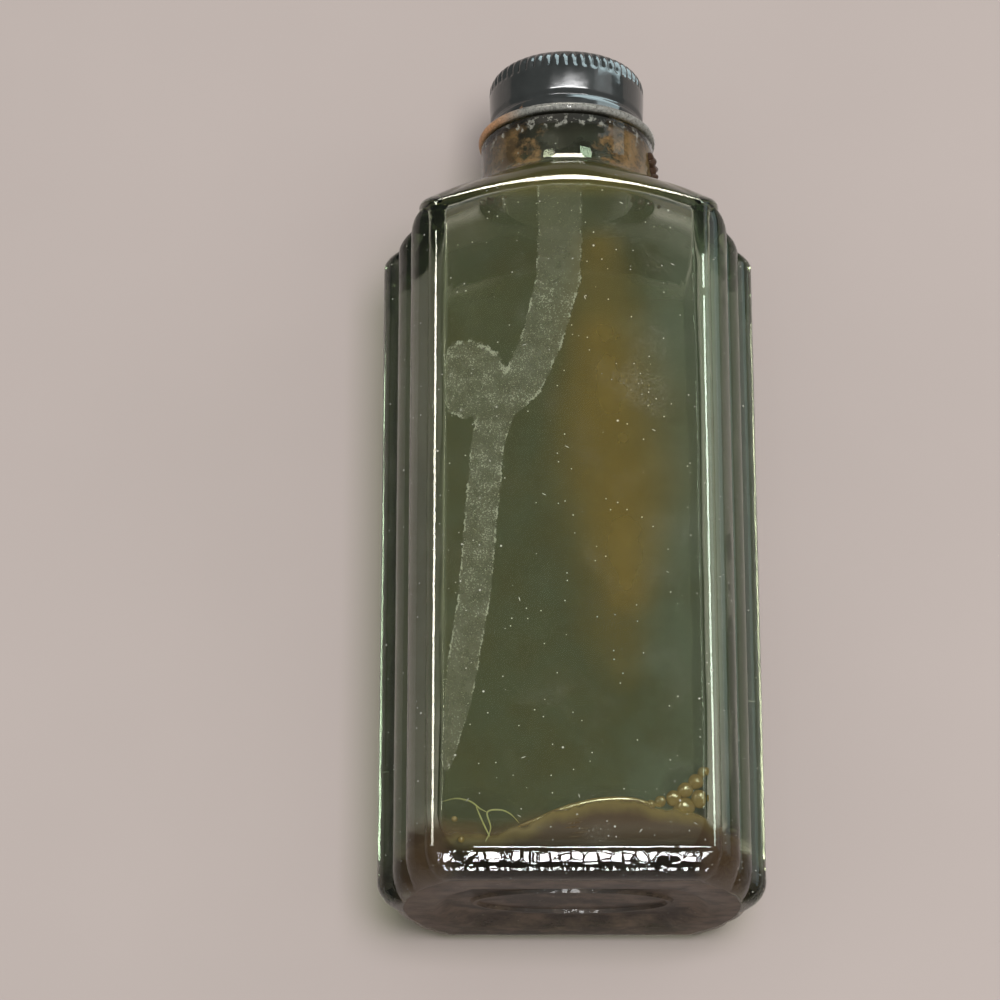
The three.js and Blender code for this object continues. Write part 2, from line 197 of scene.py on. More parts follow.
def close_up(piece):
    """Merges points that lie on each other and turns the faces outwards."""
    bpy.context.view_layer.objects.active = piece
    bpy.ops.object.mode_set(mode="EDIT")
    bpy.ops.mesh.select_all(action="SELECT")
    bpy.ops.mesh.remove_doubles(threshold=MERGE)
    bpy.ops.mesh.normals_make_consistent(inside=False)
    bpy.ops.object.mode_set(mode="OBJECT")


def smooth(piece, degrees=SHARP):
    start_clean()
    piece.select_set(True)
    bpy.context.view_layer.objects.active = piece
    bpy.ops.object.shade_smooth_by_angle(angle=math.radians(degrees))


def apply_modifier(piece, kind, **settings):
    start_clean()
    piece.select_set(True)
    bpy.context.view_layer.objects.active = piece
    modifier = piece.modifiers.new(kind.lower(), kind)
    for name, value in settings.items():
        setattr(modifier, name, value)
    bpy.ops.object.modifier_apply(modifier=modifier.name)


def finished(piece, body, look, node=None):
    """Gives a piece its finish, sets it on its body and hides the solid that it stands for."""
    piece.data.materials.clear()
    piece.data.materials.append(look)
    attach(piece, body)
    if node:
        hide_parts(node)
    return piece


def eased(value, low, high):
    """0 below low, 1 above high and a smooth rise between them."""
    share = min(1.0, max(0.0, (value - low) / (high - low)))
    return share * share * (3 - 2 * share)


def quarter_turn(steps):
    """Angles from 0 to a right angle."""
    return [math.pi / 2 * step / steps for step in range(steps + 1)]


def lifted(point, z):
    return Vector((point.x, point.y, z))


# Plan of the glass

def groove(number):
    last_depth = HALF_DEPTH - PANEL_EDGE
    pitch = 2 * last_depth / FLUTES_PER_SIDE
    share = number / (FLUTES_PER_SIDE // 2)
    first = HALF_PANEL + PANEL_EDGE
    middle = HALF_WIDTH - MIDDLE_BULGE
    return Vector((first + (middle - first) * share, number * pitch - last_depth))


def flute(start, end, bulge):
    """Places along one flute: an arc that swells out between two grooves."""
    chord = end - start
    radius = ((chord.length / 2) ** 2 + bulge ** 2) / (2 * bulge)
    outwards = Vector((chord.y, -chord.x)).normalized()
    centre = (start + end) / 2 + outwards * (bulge - radius)
    first = math.atan2(start.y - centre.y, start.x - centre.x)
    sweep = (math.atan2(end.y - centre.y, end.x - centre.x) - first) % TAU
    angles = [first + sweep * step / FLUTE_STEPS for step in range(1, FLUTE_STEPS + 1)]
    return [centre + Vector((math.cos(angle), math.sin(angle))) * radius for angle in angles]


def heel_point(body):
    """The heel bows in one arc from panel to panel, out to the crest of the middle flute."""
    edge = groove(0)
    if body.x <= edge.x and body.y <= edge.y:
        return body
    bow = HALF_WIDTH - edge.x
    radius = (edge.y ** 2 + bow ** 2) / (2 * bow)
    return Vector((HALF_WIDTH - radius + math.sqrt(radius ** 2 - body.y ** 2), body.y))


def quarter_plan():
    """From the middle of the front panel round to the crest of the right middle flute."""
    places = [Vector((HALF_PANEL * step / PANEL_STEPS, -HALF_DEPTH)) for step in range(PANEL_STEPS)]
    for angle in quarter_turn(EDGE_STEPS):
        reach = Vector((math.sin(angle), -math.cos(angle))) * PANEL_EDGE
        places.append(Vector((HALF_PANEL, PANEL_EDGE - HALF_DEPTH)) + reach)
    front = FLUTES_PER_SIDE // 2
    for number in range(front):
        places += flute(groove(number), groove(number + 1), FLUTE_BULGE)
    inner = groove(front)
    places += flute(inner, Vector((inner.x, -inner.y)), MIDDLE_BULGE)[:FLUTE_STEPS // 2]
    return places


def whole_round(quarter):
    """Mirrors a quarter of a plan into the whole of it, anticlockwise from the front middle."""
    right = quarter + [Vector((p.x, -p.y)) for p in reversed(quarter[:-1])]
    return right + [Vector((-p.x, p.y)) for p in reversed(right[1:-1])]


def shoulder_point(body):
    """The block above the flutes has straight sides and elliptical corners."""
    into = max(0.0, abs(body.y) - HALF_DEPTH + SHOULDER_CORNER_RUN) / SHOULDER_CORNER_RUN
    corner = SHOULDER_CORNER * (1 - math.sqrt(max(0.0, 1 - into * into)))
    side = HALF_PANEL + SHOULDER_CORNER - corner
    return Vector((body.x if body.x < HALF_PANEL else side, body.y))


QUARTER = quarter_plan()
BODY_PLAN = whole_round(QUARTER)
HEEL_PLAN = whole_round([heel_point(body) for body in QUARTER])
SHOULDER_PLAN = whole_round([shoulder_point(body) for body in QUARTER])


def cavity_quarter(count, gap=0.0):
    """Inside of the wall, smooth where the outside is fluted, in as many points as are asked."""
    width = HALF_WIDTH - SIDE_WALL - gap
    depth = HALF_DEPTH - PANEL_WALL - gap
    flat = HALF_PANEL - CORNER_WALL - gap
    corners = (
        Vector((flat, -depth)),
        Vector((flat + (width - flat) / 4, -depth)),
        Vector((width, -depth / 2)),
        Vector((width, 0)),
    )
    points = [Vector((flat * step / PANEL_STEPS, -depth)) for step in range(PANEL_STEPS)]
    last = count - 1 - PANEL_STEPS
    for step in range(last + 1):
        share = step / last
        weights = [math.comb(3, k) * share ** k * (1 - share) ** (3 - k) for k in range(4)]
        points.append(sum((c * w for c, w in zip(corners, weights)), Vector((0, 0))))
    return points


CAVITY_PLAN = whole_round(cavity_quarter(len(QUARTER)))


def inset(point, amount):
    return Vector((point.x * (1 - amount / HALF_WIDTH), point.y * (1 - amount / HALF_DEPTH)))


def wave(x, y, z):
    """Unevenness of the blown inside of the wall."""
    return INNER_WAVE * noise.noise(Vector((x, y, z)) / INNER_WAVE_LENGTH)


def uneven(point, z):
    return lifted(point * (1 + wave(point.x, point.y, z) / point.length), z)


# Glass bottle

def thread_swell(angle, z, foot, turns, half):
    """Share of the full thread height at one place on a ridge that climbs one pitch a turn."""
    swell = 0.0
    for lap in range(math.ceil(turns)):
        turn = angle / TAU + lap
        ends = min(turn, turns - turn) / THREAD_FADE
        away = (z - foot - THREAD_PITCH * turn) / half
        if ends > 0 and abs(away) < 1:
            swell = max(swell, min(1.0, ends) * math.cos(away * math.pi / 2) ** 2)
    return swell


def base_rings():
    """Middle of the base, the oval mould ring, the push-up and the flat that it stands on."""
    def oval(reach, z):
        return [
            lifted(Vector((p.x * (MOULD_RING.x + reach), p.y * (MOULD_RING.y + reach))), z)
            for p in (q.normalized() for q in HEEL_PLAN)
        ]

    def level(amount, z):
        return [lifted(inset(p, amount), z) for p in HEEL_PLAN]

    hollow = HEEL_RADIUS + BEARING_WIDTH
    return [
        [Vector((0, 0, PUSH_UP))] * len(HEEL_PLAN),
        oval(-4 * MOULD_RING_WIDTH, PUSH_UP),
        oval(-MOULD_RING_WIDTH, PUSH_UP),
        oval(-MOULD_RING_WIDTH / 3, PUSH_UP - MOULD_RING_HEIGHT),
        oval(MOULD_RING_WIDTH / 3, PUSH_UP - MOULD_RING_HEIGHT),
        oval(MOULD_RING_WIDTH, PUSH_UP),
        level(hollow + PUSH_UP_SLOPE, PUSH_UP),
        level(hollow, 0),
        level(HEEL_RADIUS, 0),
    ]


def stipple(along, point, angle):
    """Moulded dots in a row round the heel, at some angles of its curve, over a slight unevenness."""
    row = eased(angle, *STIPPLE_RISE) * (1 - eased(angle, *STIPPLE_FALL))
    dot = 0.5 + 0.5 * math.cos(TAU * along / STIPPLE_PITCH)
    ripple = noise.noise(lifted(point, angle * HEEL_RADIUS) / HEEL_RIPPLE_LENGTH)
    return STIPPLE_HEIGHT * row * dot + HEEL_RIPPLE * ripple * math.sin(2 * angle)


def heel_rings():
    alongs = [0.0]
    for point, after in zip(HEEL_PLAN, HEEL_PLAN[1:]):
        alongs.append(alongs[-1] + (after - point).length)
    rings = []
    for angle in quarter_turn(HEEL_STEPS)[1:]:
        z = HEEL_RADIUS * (1 - math.cos(angle))
        ring = []
        for heel, body, along in zip(HEEL_PLAN, BODY_PLAN, alongs):
            amount = HEEL_RADIUS * (1 - math.sin(angle)) - stipple(along, heel, math.pi / 2 - angle)
            ring.append(lifted(inset(heel.lerp(body, math.sin(angle)), amount), z))
        rings.append(ring)
    return rings


def flute_top_rings():
    rings = []
    for angle in quarter_turn(ARC_STEPS):
        z = FLUTE_TOP - FLUTE_DOME * (1 - math.sin(angle))
        rings.append([
            lifted(block.lerp(body, math.cos(angle)), z)
            for block, body in zip(SHOULDER_PLAN, BODY_PLAN)
        ])
    return rings


def rim_height(point):
    across = min(1.0, abs(point.x) / HALF_PANEL)
    along = min(1.0, abs(point.y) / HALF_DEPTH)
    return RIM_CORNER_Z + FRONT_ARCH * (1 - across ** 2) + SIDE_ARCH * (1 - along ** 2)


def slope_point(block, share):
    foot = block.normalized() * (NECK_RADIUS + NECK_FLARE)
    crown = 4 * SHOULDER_CROWN * share * (1 - share)
    height = rim_height(block)
    return lifted(block.lerp(foot, share), height + (NECK_FOOT_Z - height) * share + crown)


def rim_point(block, share):
    """A rounded rim between the upright block and the sloping shoulder."""
    width = SIDE_RIM + (PANEL_RIM - SIDE_RIM) * abs(block.y) / HALF_DEPTH
    foot = block.normalized() * (NECK_RADIUS + NECK_FLARE)
    height = rim_height(block)
    start = lifted(block, height - min(width, (height - FLUTE_TOP) / 2))
    end = slope_point(block, min(width / (block - foot).length, SLOPE_START))
    corner = lifted(block, height)
    return start.lerp(corner, share).lerp(corner.lerp(end, share), share)


def shoulder_rings():
    rims = [step / RIM_STEPS for step in range(RIM_STEPS + 1)]
    slopes = [SLOPE_START + (1 - SLOPE_START) * step / SLOPE_STEPS for step in range(1, SLOPE_STEPS + 1)]
    rings = [[rim_point(block, share) for block in SHOULDER_PLAN] for share in rims]
    return rings + [[slope_point(block, share) for block in SHOULDER_PLAN] for share in slopes]


def neck_profile():
    """Radius and height up the neck, over the bead and onto the ledge under the thread."""
    rows = []
    for angle in quarter_turn(6)[1:]:
        radius = NECK_RADIUS + NECK_FLARE * (1 - math.sin(angle))
        rows.append((radius, NECK_FOOT_Z + NECK_FLARE_RISE * (1 - math.cos(angle))))
    rows.append((NECK_RADIUS, NECK_TOP_Z))
    rows.append((NECK_RADIUS - NECK_GROOVE / 2, NECK_TOP_Z + NECK_GROOVE / 8))
    rows.append((NECK_RADIUS - NECK_GROOVE, NECK_TOP_Z + NECK_GROOVE / 2))
    bead = BEAD_HEIGHT / 2
    for step in range(ARC_STEPS + 1):
        angle = math.pi * step / ARC_STEPS - math.pi / 2
        rows.append((
            BEAD_RADIUS - bead + bead * math.cos(angle),
            BEAD_BOTTOM_Z + bead + bead * math.sin(angle),
        ))
    rows.append((FINISH_RADIUS + LIP_RADIUS / 2, BEAD_TOP_Z))
    return rows


def lip_profile():
    rows = []
    for angle in quarter_turn(5):
        rows.append((
            FINISH_RADIUS - LIP_RADIUS * (1 - math.cos(angle)),
            LIP_Z - LIP_RADIUS * (1 - math.sin(angle)),
        ))
    half = LIP_RADIUS / 2
    for angle in quarter_turn(4):
        rows.append((BORE_RADIUS + half * (1 - math.sin(angle)), LIP_Z - half * (1 - math.cos(angle))))
    rows.append((BORE_RADIUS, BEAD_TOP_Z))
    rows.append(((BORE_RADIUS + NECK_INSIDE) / 2, BEAD_BOTTOM_Z + NECK_GROOVE / 2))
    rows.append((NECK_INSIDE, NECK_TOP_Z))
    return rows


def turned_ring(plan, radius, z):
    return [lifted(point.normalized() * radius, z) for point in plan]


def finish_rings():
    """The thread that the cap screws onto."""
    top = LIP_Z - LIP_RADIUS
    rows = 30
    rings = []
    for row in range(rows):
        z = BEAD_TOP_Z + LIP_RADIUS / 2 + (top - BEAD_TOP_Z - LIP_RADIUS / 2) * row / rows
        ring = []
        for point in SHOULDER_PLAN:
            angle = math.atan2(point.y, point.x) % TAU
            swell = thread_swell(angle, z, GLASS_THREAD_FOOT, GLASS_THREAD_TURNS, GLASS_THREAD_HALF)
            radius = FINISH_RADIUS + GLASS_THREAD_HEIGHT * swell
            ring.append(lifted(point.normalized() * radius, z))
        rings.append(ring)
    return rings


def block_inside(point):
    """Plan of the inside of the shoulder block, which is narrower than the fluted body."""
    flat = HALF_PANEL - CORNER_WALL
    width = HALF_PANEL + SHOULDER_CORNER - PANEL_WALL
    squeeze = (width - flat) / (HALF_WIDTH - SIDE_WALL - flat)
    out = max(0.0, abs(point.x) - flat)
    return Vector((math.copysign(abs(point.x) - out * (1 - squeeze), point.x), point.y))


def inner_rim_height(point):
    across = min(1.0, abs(point.x) / (HALF_PANEL - CORNER_WALL))
    along = min(1.0, abs(point.y) / (HALF_DEPTH - PANEL_WALL))
    return RIM_CORNER_Z - RIM_WALL + FRONT_ARCH * (1 - across ** 2) + SIDE_ARCH * (1 - along ** 2)


def inner_shoulder_rings():
    """From the foot of the neck down the inside of the slope, over the inner rim and to the walls."""
    block = [block_inside(point) for point in CAVITY_PLAN]
    slope_steps = 10
    round_steps = 5
    rim_share = 0.12

    def on_slope(point, share):
        height = inner_rim_height(point)
        foot = point.normalized() * NECK_INSIDE
        return lifted(point.lerp(foot, share), height + (NECK_FOOT_Z - height) * share)

    rings = []
    for step in range(slope_steps):
        share = 1 - (1 - rim_share) * step / slope_steps
        rings.append([on_slope(point, share) for point in block])
    for step in range(round_steps + 1):
        share = step / round_steps
        ring = []
        for point in block:
            start = on_slope(point, rim_share)
            corner = on_slope(point, 0)
            end = lifted(point, corner.z - INNER_RIM_ROUND)
            ring.append(start.lerp(corner, share).lerp(corner.lerp(end, share), share))
        rings.append(ring)
    narrowing_steps = 10
    for step in range(narrowing_steps + 1):
        share = step / narrowing_steps
        outwards = (1 - math.cos(math.pi * share)) / 2
        z = BLOCK_Z - INNER_NARROWING * share
        rings.append([uneven(p.lerp(wall, outwards), z) for p, wall in zip(block, CAVITY_PLAN)])
    return rings


def inside_rings():
    """From the neck down over the inside of the shoulder and the walls to the middle of the floor."""
    rings = inner_shoulder_rings()
    wall_top = BLOCK_Z - INNER_NARROWING
    wall_foot = BASE_WALL + INNER_HEEL
    wall_rows = 60
    for row in range(1, wall_rows):
        z = wall_top + (wall_foot - wall_top) * row / wall_rows
        rings.append([uneven(p, z) for p in CAVITY_PLAN])
    for angle in reversed(quarter_turn(ARC_STEPS)):
        z = BASE_WALL + INNER_HEEL * (1 - math.cos(angle))
        amount = INNER_HEEL * (1 - math.sin(angle))
        rings.append([uneven(inset(p, amount), z) for p in CAVITY_PLAN])
    rings.append([Vector((0, 0, BASE_WALL))] * len(CAVITY_PLAN))
    return rings


# Deposits on the inside of the glass, as places across and up the front or back wall

PAINT_TOP = (
    (-30, 6.0), (-12.6, 6.4), (-8, 7.6), (-2, 10.2), (4, 11.7),
    (9, 11.8), (13, 10.4), (18, 9.8), (22, 7.6), (30, 6.4),
)
STREAK = (
    (-1.6, 118, 3.7), (-1.5, 107, 3.6), (-1.8, 98, 3.5), (-4.4, 88, 3.3), (-7.4, 80.5, 3.2),
    (-11.5, 76, 2.8), (-13, 70, 2.6), (-13.7, 61, 2.6), (-15.1, 44, 2.5), (-17.6, 28, 2.3), (-20, 18, 1.8),
)
STREAK_BLOB = Vector((-16.2, 81.0))
STREAK_BLOB_REACH = Vector((6.4, 6.6))
STREAK_EDGE = (19.2, 20.2)
STAIN = ((4.8, 103, 3.0), (5.4, 90, 5.0), (7.0, 77, 7.0), (8.4, 64, 6.5), (8.0, 53, 4.5), (8.6, 46, 3.0))
FAR_AWAY = 9.0

# Film: its share on each wall, the run over which it thickens, and where it is clear
FRONT_FILM = 0.5
LEFT_FILM = 0.77
RIGHT_FILM = 0.9
# The film on the front of the slope carries painted light, for light coming through the shoulder
SLOPE_FILM_AND_LIGHT = 0.7
SLOPE_RUN = 5
NECK_FILM = 0.75
NECK_RUN = 4
NECK_FOOT_RUN = 2
BACK_RUN = 12
FILM_EDGE = (18.4, 19.5)
RIGHT_REACH = 1.2
EDGE_LINE = 19.8
EDGE_LINE_HALF = 1.3
EDGE_CLEAR = 0.85
TOP_CORNERS = (9, 16)
FRONT_RIM_CLEAR = (0.8, 2.6)
BACK_RIM_CLEAR = (0, 2)
PAINT_CLEAR = (0.6, 2.6)
PATCH_EDGE = (0.5, 1.0)
CLEAR_PATCHES = ((-14.5, 8.0, 9.0, 6.5), (17.0, 13.0, 5.5, 6.0))


def height_at(x, line):
    """Height of a line through points of x and height, eased between them."""
    for (x0, z0), (x1, z1) in zip(line, line[1:]):
        if x <= x1:
            return z0 + (z1 - z0) * eased(x, x0, x1)
    return line[-1][1]


def trail_share(x, z, trail):
    """Distance from a trail's middle line in half-widths: 1 is its edge."""
    least = FAR_AWAY
    for (x0, z0, half0), (x1, z1, half1) in zip(trail, trail[1:]):
        start, run = Vector((x0, z0)), Vector((x1 - x0, z1 - z0))
        share = min(1.0, max(0.0, (Vector((x, z)) - start).dot(run) / run.length_squared))
        away = (Vector((x, z)) - start - run * share).length
        least = min(least, away / (half0 + (half1 - half0) * share))
    return least


def streak_mark(point):
    if point.y > -HALF_DEPTH / 2 or point.z > inner_rim_height(point):
        return FAR_AWAY
    away = Vector((point.x, point.z)) - STREAK_BLOB
    blob = Vector((away.x / STREAK_BLOB_REACH.x, away.y / STREAK_BLOB_REACH.y)).length
    return min(blob, trail_share(point.x, point.z, STREAK)) + eased(abs(point.x), *STREAK_EDGE)


def stain_mark(point):
    return trail_share(point.x, point.z, STAIN)


def clear_share(x, z):
    """How clear of film the front wall is: fully so just above the paint and in a few patches."""
    clear = 1 - eased(z - height_at(x, PAINT_TOP), *PAINT_CLEAR)
    for middle_x, middle_z, reach_x, reach_z in CLEAR_PATCHES:
        away = Vector(((x - middle_x) / reach_x, (z - middle_z) / reach_z)).length
        clear = max(clear, 1 - eased(away, *PATCH_EDGE))
    return clear


def film_and_light_mark(point):
    """A film covers the back wall, and more thinly the sides, the front, the slope and the neck; on the front
    of the slope it carries painted light.
    """
    below_rim = inner_rim_height(point) - point.z
    back = eased(point.y, 0, BACK_RUN)
    if below_rim < 0:
        slope = max(SLOPE_FILM_AND_LIGHT * eased(-point.y, 0, SLOPE_RUN), back)
        neck = NECK_FILM * eased(point.y, 0, NECK_RUN)
        return max(neck, slope * eased(NECK_FOOT_Z - point.z, 0, NECK_FOOT_RUN))
    out = max(-point.x, point.x - RIGHT_REACH)
    side_film = LEFT_FILM if point.x < 0 else RIGHT_FILM
    wall = FRONT_FILM + (side_film - FRONT_FILM) * eased(out, *FILM_EDGE)
    wall *= 1 - EDGE_CLEAR * max(0, 1 - abs(out - EDGE_LINE) / EDGE_LINE_HALF)
    corner = eased(abs(point.x), *TOP_CORNERS)
    wall *= (1 - clear_share(point.x, point.z)) * (1 - corner * (1 - eased(below_rim, *FRONT_RIM_CLEAR)))
    return max(wall, back * (1 - corner * (1 - eased(below_rim, *BACK_RIM_CLEAR))))


def moulded_glass():
    outside = base_rings() + heel_rings() + flute_top_rings() + shoulder_rings()
    underside = len(base_rings())
    outside += [turned_ring(SHOULDER_PLAN, radius, z) for radius, z in neck_profile()]
    outside += finish_rings()
    rings = outside + [turned_ring(CAVITY_PLAN, radius, z) for radius, z in lip_profile()] + inside_rings()

    def inside_mark(measure, elsewhere):
        return lambda column, row: measure(rings[row][column]) if row >= len(outside) else elsewhere

    marks = {
        "inside": inside_mark(lambda point: 1.0, 0.0),
        "film": inside_mark(film_and_light_mark, 0.0),
        "paint": inside_mark(lambda point: height_at(point.x, PAINT_TOP) - point.z, -FAR_AWAY),
        "streak": inside_mark(streak_mark, FAR_AWAY),
        "stain": inside_mark(stain_mark, FAR_AWAY),
        "underside": lambda column, row: 1.0 if row < underside else 0.0,
    }
    glass = rolled_sheet(
        "moulded_glass", len(BODY_PLAN), len(rings) - 1, lambda column, row: rings[row][column], marks
    )
    smooth(glass)
    return glass


# Cap and liner

def cap_rows():
    """Radius, height, lean of the surface and share of the knurl, from the middle of the top down."""
    corner_r = CAP_RADIUS - CAP_CORNER
    corner_z = CAP_TOP_Z - CAP_CORNER
    rows = [(corner_r * share, CAP_TOP_Z, math.pi / 2, 0.0) for share in (0, 0.4, 0.8)]
    for angle in reversed(quarter_turn(ARC_STEPS)):
        knurl = 1 - eased(math.degrees(angle), *KNURL_TOP)
        rows.append((
            corner_r + CAP_CORNER * math.cos(angle), corner_z + CAP_CORNER * math.sin(angle), angle, knurl
        ))
    steps = 4
    for step in range(1, steps + 1):
        drop = KNURL_SKIRT * step / steps
        radius = CAP_RADIUS + barrel(corner_z - drop)
        rows.append((radius, corner_z - drop, 0.0, 1 - eased(drop, KNURL_FULL, KNURL_SKIRT)))
    return rows


def roll_depth(z):
    """Line rolled into the skirt above its edge."""
    away = (z - SKIRT_Z - CAP_ROLL_HEIGHT) / CAP_ROLL_REACH
    return CAP_ROLL_DEPTH * math.cos(away * math.pi / 2) ** 2 if abs(away) < 1 else 0.0


def barrel(z):
    """The skirt swells a little between its corner and the rolled line."""
    top = CAP_TOP_Z - CAP_CORNER
    foot = SKIRT_Z + CAP_ROLL_HEIGHT
    share = min(1.0, max(0.0, (z - foot) / (top - foot)))
    return CAP_BARREL * (1 - (1 - share) ** 2) - CAP_BARREL


def skirt_rows():
    """Outside of the skirt down to its rounded edge, and round that to the inside."""
    top = CAP_TOP_Z - CAP_CORNER - KNURL_SKIRT
    edge = CAP_WALL / 2
    rows = []
    for step in range(1, SKIRT_ROWS + 1):
        z = top + (SKIRT_Z + edge - top) * step / SKIRT_ROWS
        rows.append((CAP_RADIUS - roll_depth(z) + barrel(z), z))
    for angle in quarter_turn(4)[1:]:
        rows.append((CAP_RADIUS - edge + edge * math.cos(angle), SKIRT_Z + edge - edge * math.sin(angle)))
    for angle in quarter_turn(4)[1:]:
        rows.append((CAP_RADIUS - edge - edge * math.sin(angle), SKIRT_Z + edge - edge * math.cos(angle)))
    return rows


def inside_cap_rows():
    """Inside of the skirt up to its corner and on to the middle of the top."""
    inside = CAP_RADIUS - CAP_WALL
    corner_z = CAP_TOP_Z - CAP_CORNER
    corner = CAP_CORNER - CAP_WALL
    rows = []
    for step in range(1, SKIRT_ROWS + 1):
        z = SKIRT_Z + CAP_WALL / 2 + (corner_z - SKIRT_Z - CAP_WALL / 2) * step / SKIRT_ROWS
        rows.append((inside - roll_depth(z), z))
    for angle in quarter_turn(5)[1:]:
        rows.append((inside - corner + corner * math.cos(angle), corner_z + corner * math.sin(angle)))
    rows.append((0.0, CAP_TOP_Z - CAP_WALL))
    return rows


def knurled_cap():
    outside = cap_rows()
    skirt = skirt_rows()
    inside = inside_cap_rows()
    columns = KNURLS * KNURL_STEPS
    count = len(outside) + len(skirt) + len(inside)

    def place(column, row):
        angle = TAU * column / columns
        if row < len(outside):
            radius, z, lean, knurl = outside[row]
            notch = KNURL_DEPTH * knurl * (0.5 - 0.5 * math.cos(KNURLS * angle)) ** 2
            radius -= notch * math.cos(lean)
            z -= notch * math.sin(lean)
        elif row < len(outside) + len(skirt):
            radius, z = skirt[row - len(outside)]
        else:
            radius, z = inside[row - len(outside) - len(skirt)]
            swell = thread_swell(angle, z, CAP_THREAD_FOOT, CAP_THREAD_TURNS, CAP_THREAD_HALF)
            radius -= CAP_THREAD_HEIGHT * swell
        return radius * math.cos(angle), radius * math.sin(angle), z

    cap = rolled_sheet("knurled_cap", columns, count - 1, place)
    smooth(cap, CAP_SHARP)
    return cap


def round_disc(name, low, high, edge):
    """A disc with a softened edge, in the place of the solid between two corners."""
    start_clean()
    bpy.ops.mesh.primitive_cylinder_add(
        vertices=ROUND_STEPS, radius=high.x * MM, depth=(high.z - low.z) * MM,
        location=(0, 0, (low.z + high.z) / 2 * MM),
    )
    disc = bpy.context.object
    disc.name = name
    disc.data.name = name
    bpy.ops.object.transform_apply(location=True, rotation=True, scale=True)
    apply_modifier(disc, "BEVEL", width=edge * MM, segments=3, limit_method="ANGLE")
    smooth(disc)
    return disc


def pulp_liner():
    return round_disc("pulp_liner", LINER_LOW, LINER_HIGH, LINER_EDGE)


def foil_facing():
    """The thin foil under the liner, which meets the lip of the glass."""
    return round_disc("foil_facing", FACING_LOW, FACING_HIGH, FACING_EDGE)


# Dried paint

PAINT_GAP = 0.06
PAINT_SIDE_ROWS = 14
PAINT_SIDE_EASE = 1.5
PAINT_TOP_ROWS = 12
PAINT_RIPPLE = 0.5
PAINT_RIPPLE_LENGTH = 6
PAINT_CREEP = 0.9
PAINT_CREEP_REACH = 1.6
PAINT_LEAST = 0.4


def heel_inset(z):
    """How far the rounded bottom of the cavity has come in at a height."""
    below = max(0.0, BASE_WALL + INNER_HEEL - z)
    return INNER_HEEL - math.sqrt(max(0.0, INNER_HEEL ** 2 - below ** 2))


def paint_cake():
    """Fills the heel of the cavity up to a wavy top that creeps up at the walls."""
    plan = whole_round(cavity_quarter(len(QUARTER), PAINT_GAP + INNER_WAVE / 2))
    floor = BASE_WALL + PAINT_GAP

    def side_or_top(point, row):
        ripple = PAINT_RIPPLE * noise.noise(Vector((point.x, point.y, 0)) / PAINT_RIPPLE_LENGTH)
        brim = height_at(point.x, PAINT_TOP) + ripple
        if row <= PAINT_SIDE_ROWS:
            z = floor + (brim - floor) * (row / PAINT_SIDE_ROWS) ** PAINT_SIDE_EASE
            shrink = 0 if row else INNER_HEEL
            return lifted(inset(point, max(heel_inset(z), shrink)), z)
        share = 1 - (row - PAINT_SIDE_ROWS) / PAINT_TOP_ROWS
        at = inset(point, heel_inset(brim)) * share
        creep = PAINT_CREEP * math.exp(-(1 - share) * point.length / PAINT_CREEP_REACH)
        z = height_at(at.x, PAINT_TOP) + ripple * share - PAINT_CREEP + creep
        return lifted(at, max(z, floor + PAINT_LEAST))

    def place(column, row):
        return side_or_top(plan[column], row - 1) if row else (0, 0, floor)

    cake = rolled_sheet("dried_paint_cake", len(plan), PAINT_SIDE_ROWS + PAINT_TOP_ROWS + 1, place)
    smooth(cake, DRIED_SHARP)
    return cake


# Dried varnish on the inside of the front wall

WALL_GAP = 0.1
VARNISH_SKINS = (
    ((-19.6, 11.6), (-17.6, 12.1), (-15.4, 11.6), (-14.0, 10.5), (-12.9, 9.9)),
    ((-13.2, 5.2), (-12.4, 7.4), (-12.9, 9.9), (-11.0, 10.3), (-9.4, 9.6), (-8.2, 8.2)),
    ((-12.5, 6.0), (-13.5, 8.2), (-14.6, 10.9)),
)
VARNISH_SKIN_RADIUS = 0.13
VARNISH_SKIN_SIDES = 6
MENISCUS = (
    (-8.6, 7.6), (-5.5, 8.8), (-2, 10.3), (1, 11.2), (4, 11.8), (8, 12.0), (11, 11.5), (13.4, 10.9),
)
MENISCUS_RADIUS = 0.55
MENISCUS_SIDES = 16
ROUTE_STEPS = 10
BUBBLES = (
    (13.2, 11.8, 0.9), (15.2, 12.3, 1.2), (17.0, 13.6, 1.2), (18.6, 14.9, 1.2), (19.7, 16.4, 0.9),
    (16.8, 10.9, 1.7), (19.2, 12.2, 1.4), (11.8, 11.3, 0.7), (-16.8, 5.6, 0.5), (-17.8, 8.9, 0.45),
)
BUBBLE_ROUGHNESS = 0.15
RIM_CRUSTS = (
    (-13.7, 112.0, 0.5), (-12.5, 112.4, 0.7), (-11.2, 112.3, 0.45), (-10.1, 112.8, 0.3),
    (10.2, 112.5, 0.4), (11.5, 112.2, 0.6), (13.0, 111.7, 0.35), (14.4, 111.2, 0.3),
)
CRUST_ROUGHNESS = 0.6
WALL_FLATTEN = 0.5
NECK_DRIPS = (
    (13.4, -4.4, 126.6, 0.7), (13.7, -3.8, 125.6, 0.9), (13.9, -3.2, 124.5, 0.95), (14.1, -2.7, 123.5, 0.8),
)
DRIP_ROUGHNESS = 0.5
DROP_SEGMENTS = 20
DROP_RINGS = 12


def inner_front(x, z, gap):
    """A place on the inside of the front wall, a little way into the space."""
    return uneven(Vector((x, PANEL_WALL - HALF_DEPTH)), z) + Vector((0, gap, 0))


def smooth_route(points):
    """A smooth curve through points on the wall."""
    ends = [points[0], *points, points[-1]]
    route = []
    for a, b, c, d in zip(ends, ends[1:], ends[2:], ends[3:]):
        for step in range(ROUTE_STEPS):
            t = step / ROUTE_STEPS
            route.append(tuple(
                0.5 * (2 * q + (r - p) * t + (2 * p - 5 * q + 4 * r - s) * t ** 2
                       + (3 * q - p - 3 * r + s) * t ** 3)
                for p, q, r, s in zip(a, b, c, d)
            ))
    return route + [points[-1]]


